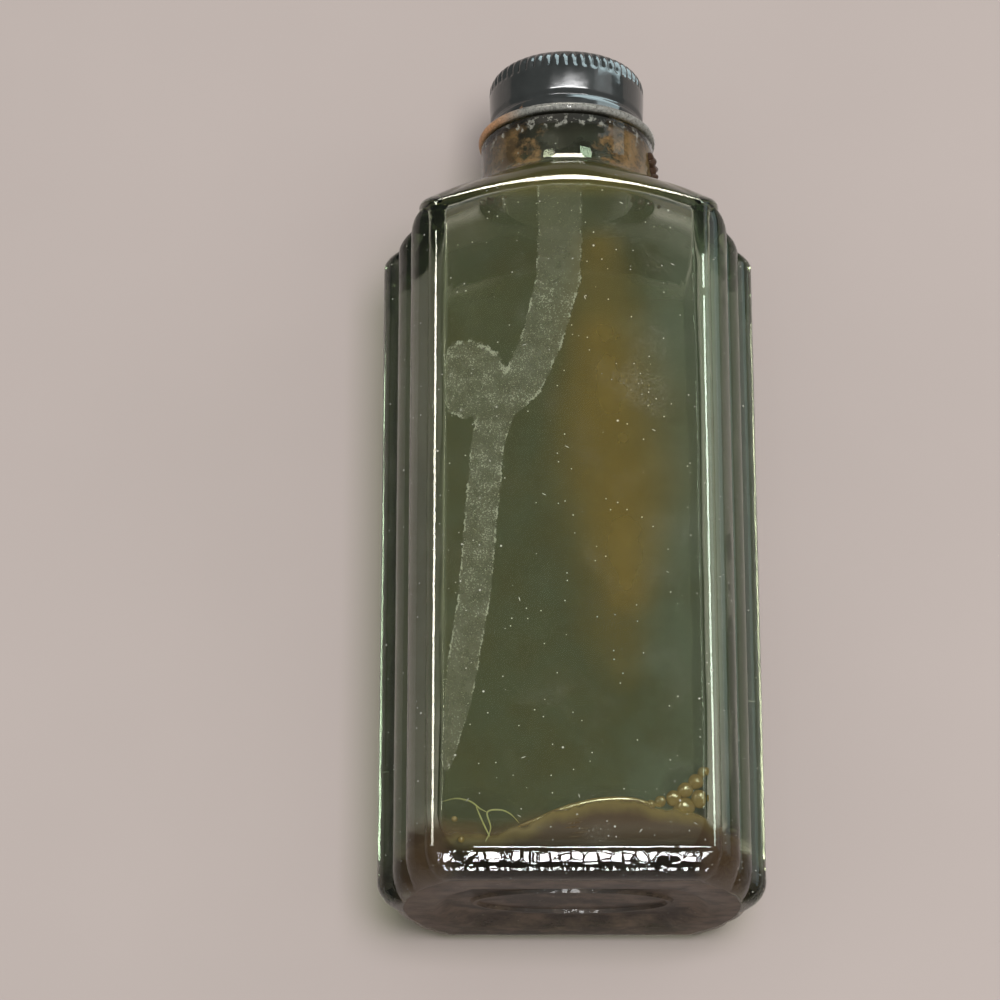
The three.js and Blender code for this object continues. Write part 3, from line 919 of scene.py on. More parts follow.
def wall_thread(name, points, thickness, sides):
    """A thread along a smooth route on the inside of the front wall, tapered at its ends."""
    route = smooth_route(points)
    last = len(route) - 1

    def place(column, row):
        radius = thickness * math.sqrt(math.sin(math.pi * row / last)) if 0 < row < last else 0.0
        middle = inner_front(*route[row], WALL_GAP + thickness / 2)
        before, after = route[max(row - 1, 0)], route[min(row + 1, last)]
        across = Vector((before[1] - after[1], 0, after[0] - before[0])).normalized()
        angle = TAU * column / sides
        return middle + radius * (across * math.cos(angle) + Vector((0, math.sin(angle) / 2, 0)))

    return rolled_sheet(name, sides, last, place)


def joined(pieces, name):
    start_clean()
    for piece in pieces:
        piece.select_set(True)
    bpy.context.view_layer.objects.active = pieces[0]
    bpy.ops.object.join()
    pieces[0].name = name
    pieces[0].data.name = name
    smooth(pieces[0], DRIED_SHARP)
    return pieces[0]


def varnish_skins():
    """Edges of dried skins: thin threads of varnish on the glass."""
    threads = [
        wall_thread("varnish_skin", points, VARNISH_SKIN_RADIUS, VARNISH_SKIN_SIDES)
        for points in VARNISH_SKINS
    ]
    return joined(threads, "varnish_skins")


def varnish_meniscus():
    """The dried paint's top edge, where varnish has crept up the glass."""
    edge = wall_thread("varnish_meniscus", MENISCUS, MENISCUS_RADIUS, MENISCUS_SIDES)
    return joined([edge], "varnish_meniscus")


def lumps(name, places, roughness, flatten):
    """Uneven drops at places in millimetres, each with its radius, flattened against the wall."""
    drops = []
    for at, radius in places:
        start_clean()
        bpy.ops.mesh.primitive_uv_sphere_add(
            segments=DROP_SEGMENTS, ring_count=DROP_RINGS, radius=radius * MM
        )
        drop = bpy.context.object
        for vertex in drop.data.vertices:
            out = vertex.co / MM
            swell = 1 + roughness * noise.noise((at + out) / radius)
            vertex.co = (at + Vector((out.x, out.y * flatten, out.z)) * swell) * MM
        drops.append(drop)
    return joined(drops, name)


def on_front_wall(places):
    return [(inner_front(x, z, WALL_GAP + radius / 2), radius) for x, z, radius in places]


def varnish_bubbles():
    return lumps("varnish_bubbles", on_front_wall(BUBBLES), BUBBLE_ROUGHNESS, WALL_FLATTEN)


def rim_crusts():
    return lumps("rim_crusts", on_front_wall(RIM_CRUSTS), CRUST_ROUGHNESS, WALL_FLATTEN)


def neck_drips():
    """Drips that have dried on the right of the neck."""
    drips = [(Vector((x, y, z)), radius) for x, y, z, radius in NECK_DRIPS]
    return lumps("neck_drips", drips, DRIP_ROUGHNESS, 1.0)


# Helpers for finishes

def node(tree, kind, inputs=None, **settings):
    """Adds a node, sets its options and fills its inputs with values or other nodes' outputs."""
    made = tree.nodes.new(kind)
    for name, value in settings.items():
        setattr(made, name, value)
    for name, value in (inputs or {}).items():
        set_socket(tree, made.inputs[name], value)
    return made


def set_socket(tree, socket, value):
    if isinstance(value, bpy.types.NodeSocket):
        tree.links.new(value, socket)
    else:
        socket.default_value = value


def look(name):
    """A new material with its tree, its shader and its object coordinates."""
    made = bpy.data.materials.new(name)
    made.use_nodes = True
    tree = made.node_tree
    shader = tree.nodes["Principled BSDF"]
    place = node(tree, "ShaderNodeTexCoord").outputs["Object"]
    return made, tree, shader, place


def set_shader(tree, shader, **values):
    for name, value in values.items():
        set_socket(tree, shader.inputs[name.replace("_", " ")], value)


def cloud(tree, place, size, detail=3.0, roughness=0.5):
    """Noise whose patches are about size millimetres across."""
    made = node(tree, "ShaderNodeTexNoise", {
        "Vector": place, "Scale": 1 / (size * MM), "Detail": detail, "Roughness": roughness,
    })
    return made.outputs["Fac"]


def ramp(tree, value, low, high, first=0.0, last=1.0):
    made = node(tree, "ShaderNodeMapRange", {
        "Value": value, "From Min": low, "From Max": high, "To Min": first, "To Max": last,
    }, interpolation_type="SMOOTHSTEP")
    return made.outputs["Result"]


def rise(tree, value, low, high, first=0.0, last=1.0):
    """A ramp between two places in millimetres."""
    return ramp(tree, value, low * MM, high * MM, first, last)


def band(tree, value, low, high, soft):
    """1 between two values, with soft ends."""
    return times(tree, ramp(tree, value, low - soft, low + soft), ramp(tree, value, high + soft, high - soft))


def strip(tree, value, low, high, soft):
    """A band between two places in millimetres."""
    return band(tree, value, low * MM, high * MM, soft * MM)


def maths(tree, operation, first, second=0.0):
    made = node(tree, "ShaderNodeMath", {0: first, 1: second}, operation=operation)
    return made.outputs[0]


def times(tree, *factors):
    product = factors[0]
    for factor in factors[1:]:
        product = maths(tree, "MULTIPLY", product, factor)
    return product


def plus(tree, first, second):
    return maths(tree, "ADD", first, second)


def minus(tree, first, second):
    return maths(tree, "SUBTRACT", first, second)


def greater(tree, first, second):
    return maths(tree, "MAXIMUM", first, second)


def wavered(tree, value, clouds, half, amount):
    """A value shifted by clouds, up to an amount either way."""
    return plus(tree, value, ramp(tree, clouds, 0.5 - half, 0.5 + half, -amount, amount))


def colours(tree, factor, first, second):
    made = node(tree, "ShaderNodeMix", {0: factor, 6: first, 7: second}, data_type="RGBA")
    return made.outputs[2]


def bump(tree, height, strength, distance, over=None):
    made = node(tree, "ShaderNodeBump", {"Height": height, "Strength": strength, "Distance": distance * MM})
    if over:
        tree.links.new(over, made.inputs["Normal"])
    return made.outputs["Normal"]


def axes(tree, place):
    return node(tree, "ShaderNodeSeparateXYZ", {"Vector": place}).outputs


def mark(tree, name):
    return node(tree, "ShaderNodeAttribute", attribute_name=name).outputs["Fac"]


def specks(tree, place, cell, size, share):
    """Small round specks: one to a cell, of which only a share is kept."""
    made = node(tree, "ShaderNodeTexVoronoi", {"Vector": place, "Scale": 1 / (cell * MM)})
    spot = ramp(tree, made.outputs["Distance"], size / cell, size / cell / 3)
    kept = node(tree, "ShaderNodeSeparateColor", {"Color": made.outputs["Color"]}).outputs["Red"]
    return times(tree, spot, maths(tree, "LESS_THAN", kept, share))


def scratches(tree, place):
    """Short hairs and scratches that lie in a few directions."""
    marks = None
    for degrees in SCRATCH_LIES:
        turned = node(tree, "ShaderNodeMapping", {
            "Vector": place, "Rotation": (0, math.radians(degrees), 0), "Scale": (SCRATCH_STRETCH, 1, 1),
        }, vector_type="TEXTURE").outputs["Vector"]
        found = specks(tree, turned, cell=1.9, size=0.09, share=0.2)
        marks = greater(tree, marks, found) if marks else found
    return marks


def near(tree, place, middle, reach):
    """1 at a place across and up the front, falling to 0 at its reach."""
    at = axes(tree, place)
    across = maths(tree, "DIVIDE", minus(tree, at["X"], middle[0] * MM), reach[0] * MM)
    up = maths(tree, "DIVIDE", minus(tree, at["Z"], middle[1] * MM), reach[1] * MM)
    away = plus(tree, times(tree, across, across), times(tree, up, up))
    return ramp(tree, away, 1.0, 0.0)


def laid_on(tree, under, cover, colour):
    """Lays a deposit over what is there: colour and cover of the two together."""
    under_colour, under_cover = under
    left_clear = times(tree, minus(tree, 1.0, cover), under_cover)
    total = plus(tree, cover, left_clear)
    return colours(tree, maths(tree, "DIVIDE", cover, total), under_colour, colour), total


# Colours of the finishes

GLASS_ABSORPTION = (0.28, 0.42, 0.16, 1)
GLASS_DENSITY = 105.0
CLEAR_SHADOW = (0.95, 0.96, 0.91, 1)
COATED_SHADOW = (0.4, 0.4, 0.32, 1)
# Pale dust, also used for the painted highlights below the bead
DUST_AND_GLINT = (0.62, 0.61, 0.52, 1)
FILM = (0.076, 0.071, 0.02, 1)
FILM_GREEN = (0.084, 0.092, 0.042, 1)
FILM_COOL = (0.15, 0.17, 0.118, 1)
# Painted light on the front of the slope
SLOPE_PAINTED_LIGHT = (0.38, 0.29, 0.07, 1)
AMBER = (0.33, 0.19, 0.016, 1)
STREAK_HAZE = (0.4, 0.375, 0.29, 1)
STREAK_GRAIN = (0.85, 0.84, 0.7, 1)
PAINT_DEEP = (0.12, 0.068, 0.04, 1)
PAINT_EDGE = (0.3, 0.21, 0.08, 1)
CRUST_BROWN = (0.74, 0.39, 0.19, 1)
CRUST_SHADE = (0.3, 0.16, 0.085, 1)
# Dark dried paint in the neck, also standing for painted shade under the bead
CRUST_DARK_AND_SHADE = (0.03, 0.025, 0.018, 1)
DREGS = (0.2, 0.115, 0.05, 1)
# Painted shade: near black for the groove under the bead
GROOVE_PAINTED_SHADE = (0.006, 0.005, 0.004, 1)
HEEL_STAIN = (0.08, 0.046, 0.022, 1)
# Painted light in the inner corners beside the front wall
EDGE_LIGHT_OLIVE = (0.26, 0.265, 0.17, 1)
EDGE_LIGHT_PALE = (0.52, 0.6, 0.46, 1)
BEAD_DUST = (0.35, 0.345, 0.31, 1)
BASE_DUST = (0.135, 0.093, 0.064, 1)
BASE_DARK = (0.03, 0.019, 0.012, 1)
ENAMEL_DARK = (0.02, 0.023, 0.022, 1)
ENAMEL_PALE = (0.05, 0.054, 0.052, 1)
RUST = (0.21, 0.105, 0.05, 1)
BOARD_DARK = (0.36, 0.28, 0.17, 1)
BOARD_PALE = (0.56, 0.47, 0.32, 1)
FOIL = (0.55, 0.54, 0.5, 1)
FOIL_STAIN = (0.2, 0.11, 0.05, 1)
CAKE_DARK = (0.09, 0.05, 0.028, 1)
CAKE_PALE = (0.24, 0.14, 0.06, 1)
SKIN_PALE = (0.8, 0.78, 0.36, 1)
SKIN_DEEP = (0.6, 0.55, 0.16, 1)
AMBER_PALE = (0.66, 0.45, 0.14, 1)
AMBER_DEEP = (0.24, 0.145, 0.05, 1)
LUMP_PALE = (0.1, 0.052, 0.03, 1)
LUMP_DEEP = (0.03, 0.018, 0.012, 1)

# Reach of the deposits, the wear and the painted light and shade, in millimetres
NECK_EDGE_X = (4.5, 7.5)
NECK_CRUST_Z = (119.5, 121.5)
NECK_RING_Z = (123.8, 125.4)
NECK_FRONT_Y = (3, -1)
GRAIN_TOP_Z = (104, 94)
GRAIN_FOOT_Z = (20, 62)
HAZE_TOP_Z = (112, 100)
# Reach of the painted light in the inner corners
EDGE_LIGHT_X = (19.5, 21.0)
EDGE_LIGHT_Y = (-7, -10)
EDGE_LIGHT_FOOT_Z = (18, 34)
EDGE_LIGHT_TOP_Z = (108, 102)
COOL_FILM_X = (7, 21)
# Reach of the painted light on the front of the slope
SLOPE_Z = (112, 116)
SLOPE_FRONT_Y = (2, -2)
DREGS_Z = (10, 5)
HAZY_PATCH = (15, 83)
HAZY_REACH = (9, 14)
BROWN_BEAD_X = (-13, -7)
# Depth of the painted shade under the bead, and reach of the painted highlights below it
PAINTED_SHADE_DEPTH = 1.5
GLINTS_BELOW = (2.4, 0.2)
HEEL_STAIN_X = (19, 26)
HEEL_STAIN_Z = (11, 3)
BASE_MIDDLE = (24, 30)
BASE_FRONT_Y = (-8, -17)
HAMMERED_Z = (0.3, 3.4)
HAMMER_CELL = 1.8
HAMMER_DEPTH = 0.024
WORN_SKIRT = 1.6
WORN_X = (-4, -9)

# Cover of each deposit, and of the painted highlights, where it is thickest
INSIDE_DUST_COVER = 0.02
CRUST_COVER = 0.93
PIT_COVER = 0.4
GRAIN_COVER = 0.6
DREGS_COVER = 0.75
HAZE_COVER = 0.45
SPECK_COVER = 0.75
GLINT_COVER = 0.35
HEEL_COVER = 0.5
BASE_COVER = 0.85

# How far clouds shift the borders of deposits
NECK_SHIFT = 2.5 * MM
LEVEL_SHIFT = 1.5 * MM
FILM_SHIFT = 5 * MM
STREAK_SHIFT = 0.09
PAINT_SHIFT = 0.3

# Directions of the scratches in degrees, and how many times longer than wide they are
SCRATCH_LIES = (28, 75, 128, 160)
SCRATCH_STRETCH = 6


# Deposits on the glass, with painted light and shade among them

def neck_sides(tree, place):
    """1 towards the left and right edges of the neck, 0 in its middle, with an uneven border."""
    away = maths(tree, "ABSOLUTE", axes(tree, place)["X"])
    return rise(tree, wavered(tree, away, cloud(tree, place, 3.0, 5, 0.6), 0.2, NECK_SHIFT), *NECK_EDGE_X)


def neck_crust_and_shade(tree, place, laid, middling):
    """Dried paint in the front of the neck: a dark ring above, partly painted shade under the bead, and brown
    crusts down both edges.
    """
    at = axes(tree, place)
    height = wavered(tree, at["Z"], middling, 0.3, LEVEL_SHIFT)
    side = neck_sides(tree, place)
    edges = times(tree, side, rise(tree, height, *NECK_CRUST_Z))
    # The dark ring in the middle is partly dried paint and partly painted shade under the bead.
    ring = rise(tree, height, *NECK_RING_Z)
    front = times(tree, rise(tree, at["Y"], *NECK_FRONT_Y), mark(tree, "inside"))
    crust = times(tree, greater(tree, edges, ring), front, CRUST_COVER)
    fine = minus(tree, cloud(tree, place, 0.6, 4, 0.65), 0.5)
    tone = plus(tree, middling, times(tree, fine, 0.3))
    brown = colours(tree, ramp(tree, tone, 0.36, 0.64), CRUST_BROWN, CRUST_SHADE)
    return laid_on(tree, laid, crust, colours(tree, side, CRUST_DARK_AND_SHADE, brown))


def dried_streak(tree, place, laid, middling):
    """A dried run: a thin haze with fine grains in its middle reach, and bright ragged edges."""
    z = axes(tree, place)["Z"]
    fine = cloud(tree, place, 0.24, 4, 0.7)
    grainy = times(tree, rise(tree, z, *GRAIN_TOP_Z), rise(tree, z, *GRAIN_FOOT_Z, 0.45, 1.0))
    ragged = wavered(tree, mark(tree, "streak"), cloud(tree, place, 1.1, 5, 0.7), 0.3, STREAK_SHIFT)
    inside = ramp(tree, ragged, 1.02, 0.96)
    thin = ramp(tree, middling, 0.3, 0.7, 0.22, 0.34)
    haze = times(tree, inside, thin, rise(tree, z, *HAZE_TOP_Z, 0.6, 1.0))
    laid = laid_on(tree, laid, haze, STREAK_HAZE)
    pits = times(tree, ramp(tree, fine, 0.4, 0.3), inside, grainy, PIT_COVER)
    laid = laid_on(tree, laid, pits, FILM)
    edge = times(tree, band(tree, ragged, 0.9, 1.0, 0.05), ramp(tree, middling, 0.42, 0.56), 0.16)
    crowd = plus(tree, times(tree, ramp(tree, middling, 0.35, 0.7, 0.04, 0.14), grainy), edge)
    grain = times(tree, ramp(tree, plus(tree, fine, crowd), 0.65, 0.72), inside, GRAIN_COVER)
    return laid_on(tree, laid, grain, STREAK_GRAIN)


def edge_painted_light(tree, place, laid, broad):
    """Painted light in the two inner corners beside the front wall: pale lines for light seen through the
    corners, paler on the right.
    """
    x, y, z = axes(tree, place)
    away = greater(tree, times(tree, x, -1.0), minus(tree, x, RIGHT_REACH * MM))
    line = times(tree, strip(tree, away, *EDGE_LIGHT_X, 0.5), rise(tree, y, *EDGE_LIGHT_Y))
    reach = times(tree, rise(tree, z, *EDGE_LIGHT_FOOT_Z, 0.2, 1.0), rise(tree, z, *EDGE_LIGHT_TOP_Z))
    patchy = times(tree, ramp(tree, broad, 0.3, 0.7, 0.5, 0.9), mark(tree, "inside"))
    colour = colours(tree, rise(tree, x, -1, 1), EDGE_LIGHT_OLIVE, EDGE_LIGHT_PALE)
    return laid_on(tree, laid, times(tree, line, reach, patchy), colour)


def film_colour_and_light(tree, place, broad):
    """Olive film mottled with green, cooler towards the right, and yellower on the front of the slope, where
    painted light stands for light coming through the shoulder.
    """
    x, y, z = axes(tree, place)
    mottled = colours(tree, ramp(tree, cloud(tree, place, 8, 5, 0.6), 0.35, 0.65), FILM, FILM_GREEN)
    right = rise(tree, wavered(tree, x, broad, 0.2, FILM_SHIFT), *COOL_FILM_X)
    # Painted light: the front of the slope is yellower, for light coming through the shoulder
    slope = times(tree, rise(tree, z, *SLOPE_Z), rise(tree, y, *SLOPE_FRONT_Y))
    return colours(tree, slope, colours(tree, right, mottled, FILM_COOL), SLOPE_PAINTED_LIGHT)


def inside_deposits_and_light(tree, place):
    """Film, amber stain, streak, painted light in the corners and on the slope, paint, and crust with painted
    shade in the neck, on the inside of the glass: colour and cover.
    """
    middling = cloud(tree, place, 2.4, 4)
    broad = cloud(tree, place, 16, 4)
    inside = mark(tree, "inside")
    film = times(tree, mark(tree, "film"), ramp(tree, broad, 0.25, 0.75, 0.88, 0.98))
    dusty = (DUST_AND_GLINT, times(tree, inside, INSIDE_DUST_COVER))
    laid = laid_on(tree, dusty, film, film_colour_and_light(tree, place, broad))
    stain = times(tree, ramp(tree, mark(tree, "stain"), 2.1, -0.1), ramp(tree, broad, 0.2, 0.7, 0.5, 1.0))
    laid = laid_on(tree, laid, times(tree, stain, film), AMBER)
    laid = dried_streak(tree, place, laid, middling)
    laid = edge_painted_light(tree, place, laid, broad)
    low = wavered(tree, axes(tree, place)["Z"], broad, 0.2, LEVEL_SHIFT)
    laid = laid_on(tree, laid, times(tree, rise(tree, low, *DREGS_Z, 0.0, DREGS_COVER), inside), DREGS)
    level = wavered(tree, mark(tree, "paint"), middling, 0.3, PAINT_SHIFT)
    paint_colour = colours(tree, ramp(tree, level, 0.0, 2.8), PAINT_EDGE, PAINT_DEEP)
    laid = laid_on(tree, laid, ramp(tree, level, -0.4, 0.5), paint_colour)
    return neck_crust_and_shade(tree, place, laid, middling)


def outside_dust(tree, place, laid, outside, grain):
    """Specks and scratches all over, in hazy patches, the largest of them on the right."""
    hazy = times(tree, near(tree, place, HAZY_PATCH, HAZY_REACH), 0.2)
    patch = ramp(tree, plus(tree, cloud(tree, place, 7, 5), hazy), 0.5, 0.95)
    crowd = specks(tree, place, cell=0.55, size=0.16, share=0.45)
    haze = plus(tree, crowd, ramp(tree, grain, 0.4, 0.7, 0.0, 0.35))
    haze = times(tree, patch, haze, HAZE_COVER)
    fine = times(tree, specks(tree, place, cell=1.2, size=0.16, share=0.5), SPECK_COVER)
    large = specks(tree, place, cell=3.0, size=0.25, share=0.5)
    dots = times(tree, greater(tree, large, scratches(tree, place)), SPECK_COVER)
    dust = greater(tree, greater(tree, haze, fine), dots)
    return laid_on(tree, laid, times(tree, dust, outside), DUST_AND_GLINT)


def neck_dirt_and_shade(tree, place, laid, outside, grain):
    """A dusty bead, brown on its left, over a groove darkened with painted shade and dotted with painted
    highlights.
    """
    at = axes(tree, place)
    bead = times(tree, strip(tree, at["Z"], BEAD_BOTTOM_Z, BEAD_TOP_Z, 0.1), outside)
    bead_colour = colours(tree, rise(tree, at["X"], *BROWN_BEAD_X), CRUST_BROWN, BEAD_DUST)
    laid = laid_on(tree, laid, times(tree, bead, ramp(tree, grain, 0.35, 0.65, 0.45, 0.9)), bead_colour)
    # Painted shade: the groove under the bead is near black, less so towards the sides
    groove_shade = strip(tree, at["Z"], NECK_TOP_Z - PAINTED_SHADE_DEPTH, BEAD_BOTTOM_Z, 0.3)
    groove_shade = times(tree, groove_shade, ramp(tree, neck_sides(tree, place), 0, 1, 0.97, 0.4), outside)
    laid = laid_on(tree, laid, groove_shade, GROOVE_PAINTED_SHADE)
    # Painted highlights: bright flecks on the dark neck just below the groove
    foot, top = (NECK_TOP_Z - below for below in GLINTS_BELOW)
    painted_glints = ramp(tree, cloud(tree, place, 1.3, 5, 0.7), 0.54, 0.6)
    painted_glints = times(tree, strip(tree, at["Z"], foot, top, 0.6), painted_glints, outside, GLINT_COVER)
    return laid_on(tree, laid, painted_glints, DUST_AND_GLINT)


def base_dirt(tree, place, laid, outside):
    """Brown stains at the corners of the heel, and a scuffed base, darker in its middle and lighter towards
    the front.
    """
    x, y, z = axes(tree, place)
    heel = times(tree, strip(tree, maths(tree, "ABSOLUTE", x), *HEEL_STAIN_X, 2), outside)
    laid = laid_on(tree, laid, times(tree, heel, rise(tree, z, *HEEL_STAIN_Z, 0.0, HEEL_COVER)), HEEL_STAIN)
    wide = node(tree, "ShaderNodeMapping", {"Vector": place, "Scale": (0.55, 1, 1)}).outputs["Vector"]
    middle = times(tree, near(tree, place, (0, 0), BASE_MIDDLE), 0.1)
    scuff = minus(tree, cloud(tree, wide, 3.2, 6, 0.65), middle)
    scuff = plus(tree, scuff, rise(tree, y, *BASE_FRONT_Y, 0.0, 0.14))
    base = colours(tree, ramp(tree, scuff, 0.3, 0.66), BASE_DARK, BASE_DUST)
    return laid_on(tree, laid, times(tree, mark(tree, "underside"), BASE_COVER), base)


def outside_deposits_and_shade(tree, place, laid):
    """Dust, scuffs, and painted shade and highlights under the bead on the outside, laid over what is on the
    inside.
    """
    outside = minus(tree, 1.0, mark(tree, "inside"))
    grain = cloud(tree, place, 0.5, 6, 0.8)
    laid = outside_dust(tree, place, laid, outside, grain)
    laid = neck_dirt_and_shade(tree, place, laid, outside, grain)
    return base_dirt(tree, place, laid, outside)


# Finishes

def hammered_heel(tree, place, over):
    """The heel is hammered in small cells, whose fine grooves break up its highlights."""
    cells = node(tree, "ShaderNodeTexVoronoi", {
        "Vector": place, "Scale": 1 / (HAMMER_CELL * MM), "Randomness": 0.75,
    }, feature="DISTANCE_TO_EDGE").outputs["Distance"]
    outside = minus(tree, 1.0, mark(tree, "inside"))
    heel = times(tree, strip(tree, axes(tree, place)["Z"], *HAMMERED_Z, 0.2), outside)
    grooves = times(tree, ramp(tree, cells, 0.0, 0.14), heel)
    return bump(tree, grooves, strength=1.0, distance=HAMMER_DEPTH, over=over)


def olive_glass():
    """Olive glass, a little wavy, under a layer of dust outside and dried deposits inside, with painted light
    and shade among them.
    """
    made, tree, shader, place = look("olive_glass")
    colour, cover = outside_deposits_and_shade(tree, place, inside_deposits_and_light(tree, place))
    wavy = bump(tree, cloud(tree, place, 9, 2), strength=0.25, distance=0.5)
    set_shader(
        tree, shader,
        Base_Color=(1, 1, 1, 1),
        Roughness=0.012,
        Transmission_Weight=1.0,
        IOR=1.52,
        Normal=hammered_heel(tree, place, wavy),
    )
    layer = node(tree, "ShaderNodeBsdfPrincipled", {
        "Base Color": colour, "Roughness": ramp(tree, cover, 0.0, 1.0, 0.6, 0.45), "Specular IOR Level": 0.15,
    })
    coated = node(tree, "ShaderNodeMixShader", {0: cover, 1: shader.outputs[0], 2: layer.outputs[0]})
    shadow = node(tree, "ShaderNodeLightPath").outputs["Is Shadow Ray"]
    clear = node(tree, "ShaderNodeBsdfTransparent", {
        "Color": colours(tree, cover, CLEAR_SHADOW, COATED_SHADOW),
    })
    mixed = node(tree, "ShaderNodeMixShader", {0: shadow, 1: coated.outputs[0], 2: clear.outputs[0]})
    inside = node(tree, "ShaderNodeVolumeAbsorption", {"Color": GLASS_ABSORPTION, "Density": GLASS_DENSITY})
    output = tree.nodes["Material Output"]
    tree.links.new(mixed.outputs[0], output.inputs["Surface"])
    tree.links.new(inside.outputs[0], output.inputs["Volume"])
    return made


def varnish(name, pale, deep, clear):
    """Dried varnish: partly clear, with darker clouds and a glossy skin."""
    made, tree, shader, place = look(name)
    cloudy = cloud(tree, place, 0.8, 3)
    set_shader(
        tree, shader,
        Base_Color=colours(tree, cloudy, pale, deep),
        Roughness=ramp(tree, cloudy, 0.3, 0.8, 0.08, 0.25),
        Transmission_Weight=ramp(tree, cloudy, 0.3, 0.8, clear, clear / 2),
        Normal=bump(tree, cloud(tree, place, 0.5, 2), strength=0.2, distance=0.05),
        IOR=1.5,
    )
    return made


def black_enamel():
    """Glossy enamel with faint mottling, and rust where the skirt's edge has worn."""
    made, tree, shader, place = look("black_enamel")
    at = axes(tree, place)
    mottle = cloud(tree, place, 3.5, 5)
    low = times(tree, rise(tree, at["Z"], SKIRT_Z + WORN_SKIRT, SKIRT_Z), rise(tree, at["X"], *WORN_X))
    worn = ramp(tree, plus(tree, cloud(tree, place, 2.2, 5), times(tree, low, 0.3)), 0.7, 0.82)
    gloss = ramp(tree, mottle, 0.3, 0.8, 0.08, 0.2)
    set_shader(
        tree, shader,
        Base_Color=colours(tree, worn, colours(tree, mottle, ENAMEL_DARK, ENAMEL_PALE), RUST),
        Roughness=plus(tree, gloss, times(tree, worn, 0.4)),
        Normal=bump(tree, cloud(tree, place, 1.4, 4), strength=0.12, distance=0.1),
        Coat_Weight=0.3,
        Coat_Roughness=0.05,
    )
    return made


def pulp_board():
    made, tree, shader, place = look("pulp_board")
    fibre = cloud(tree, place, 0.5, 6, 0.7)
    set_shader(
        tree, shader,
        Base_Color=colours(tree, fibre, BOARD_DARK, BOARD_PALE),
        Roughness=0.9,
        Normal=bump(tree, fibre, strength=0.5, distance=0.1),
    )
    return made


def stained_foil():
    made, tree, shader, place = look("stained_foil")
    stain = ramp(tree, cloud(tree, place, 6, 5), 0.42, 0.62)
    set_shader(
        tree, shader,
        Base_Color=colours(tree, stain, FOIL, FOIL_STAIN),
        Metallic=ramp(tree, stain, 0.0, 1.0, 1.0, 0.0),
        Roughness=ramp(tree, stain, 0.0, 1.0, 0.32, 0.6),
        Normal=bump(tree, cloud(tree, place, 1.5, 4), strength=0.3, distance=0.1),
    )
    return made


def dried_paint():
    made, tree, shader, place = look("dried_paint")
    set_shader(
        tree, shader,
        Base_Color=colours(tree, cloud(tree, place, 4, 6), CAKE_DARK, CAKE_PALE),
        Roughness=ramp(tree, cloud(tree, place, 1.2, 4), 0.3, 0.8, 0.22, 0.6),
        Normal=bump(tree, cloud(tree, place, 1.6, 5), strength=0.4, distance=0.3),
        Coat_Weight=0.4,
    )
    return made


# Stage, lamps and camera

TABLE_GAP = 0.05
STAGE_SIZE = 2.4
TABLE_DARK = (0.5035, 0.4351, 0.40375, 1)
TABLE_PALE = (0.5565, 0.4809, 0.44625, 1)


def one_sided(tree, shader):
    """Clear from behind, so that views from the back and from below see the bottle."""
    behind = node(tree, "ShaderNodeNewGeometry").outputs["Backfacing"]
    clear = node(tree, "ShaderNodeBsdfTransparent")
    mixed = node(tree, "ShaderNodeMixShader", {0: behind, 1: shader.outputs[0], 2: clear.outputs[0]})
    tree.links.new(mixed.outputs[0], tree.nodes["Material Output"].inputs["Surface"])


def pale_table_top():
    made, tree, shader, place = look("pale_table_top")
    mottle = cloud(tree, place, 60, 5)
    set_shader(tree, shader, Base_Color=colours(tree, mottle, TABLE_DARK, TABLE_PALE), Roughness=0.75)
    one_sided(tree, shader)
    return made


def stage_plane(name, location, rotation, finish):
    start_clean()
    bpy.ops.mesh.primitive_plane_add(size=STAGE_SIZE, location=location, rotation=rotation)
    plane = bpy.context.object
    plane.name = name
    plane.data.materials.append(finish)
    plane.visible_shadow = False
    return plane


def lay_stage():
    """The bottle's back rests on a table top, and its base on a floor that only other views see."""
    finish = pale_table_top()
    stage_plane("table_top", (0, (HALF_DEPTH + TABLE_GAP) * MM, 0), (math.pi / 2, 0, 0), finish)
    floor = stage_plane("floor", (0, 0, -TABLE_GAP * MM), (0, 0, 0), finish)
    floor.visible_diffuse = False
    floor.visible_glossy = False


AIM = Vector((0, 0, 0.07))
WHITE = (1.0, 1.0, 1.0)
CREAM = (1.0, 0.96, 0.8)
SKY = (0.74, 0.95, 1.0)
LEAF = (0.85, 1.0, 0.85)


def lit_only(name):
    """Collection of the pieces that some lamps alone shine on."""
    return bpy.data.collections.get(name) or bpy.data.collections.new(name)


def lamp(name, azimuth, elevation, distance, width, height, radiance, colour=WHITE, sees="all", only=None):
    """A soft rectangle that faces the bottle. Azimuth 0 is in front of it, and 90 on its right."""
    light = bpy.data.lights.new(name, "AREA")
    light.shape = "RECTANGLE"
    light.size = width
    light.size_y = height
    light.energy = radiance * math.pi * width * height
    light.color = colour
    holder = bpy.data.objects.new(name, light)
    bpy.context.scene.collection.objects.link(holder)
    a, e = math.radians(azimuth), math.radians(elevation)
    away = Vector((math.sin(a) * math.cos(e), -math.cos(a) * math.cos(e), math.sin(e)))
    holder.location = AIM + away * distance
    holder.rotation_euler = away.to_track_quat("Z", "Y").to_euler()
    holder.visible_diffuse = sees in ("all", "fill")
    holder.visible_glossy = sees != "fill"
    holder.visible_transmission = sees in ("all", "glow")
    if only:
        holder.light_linking.receiver_collection = lit_only(only)


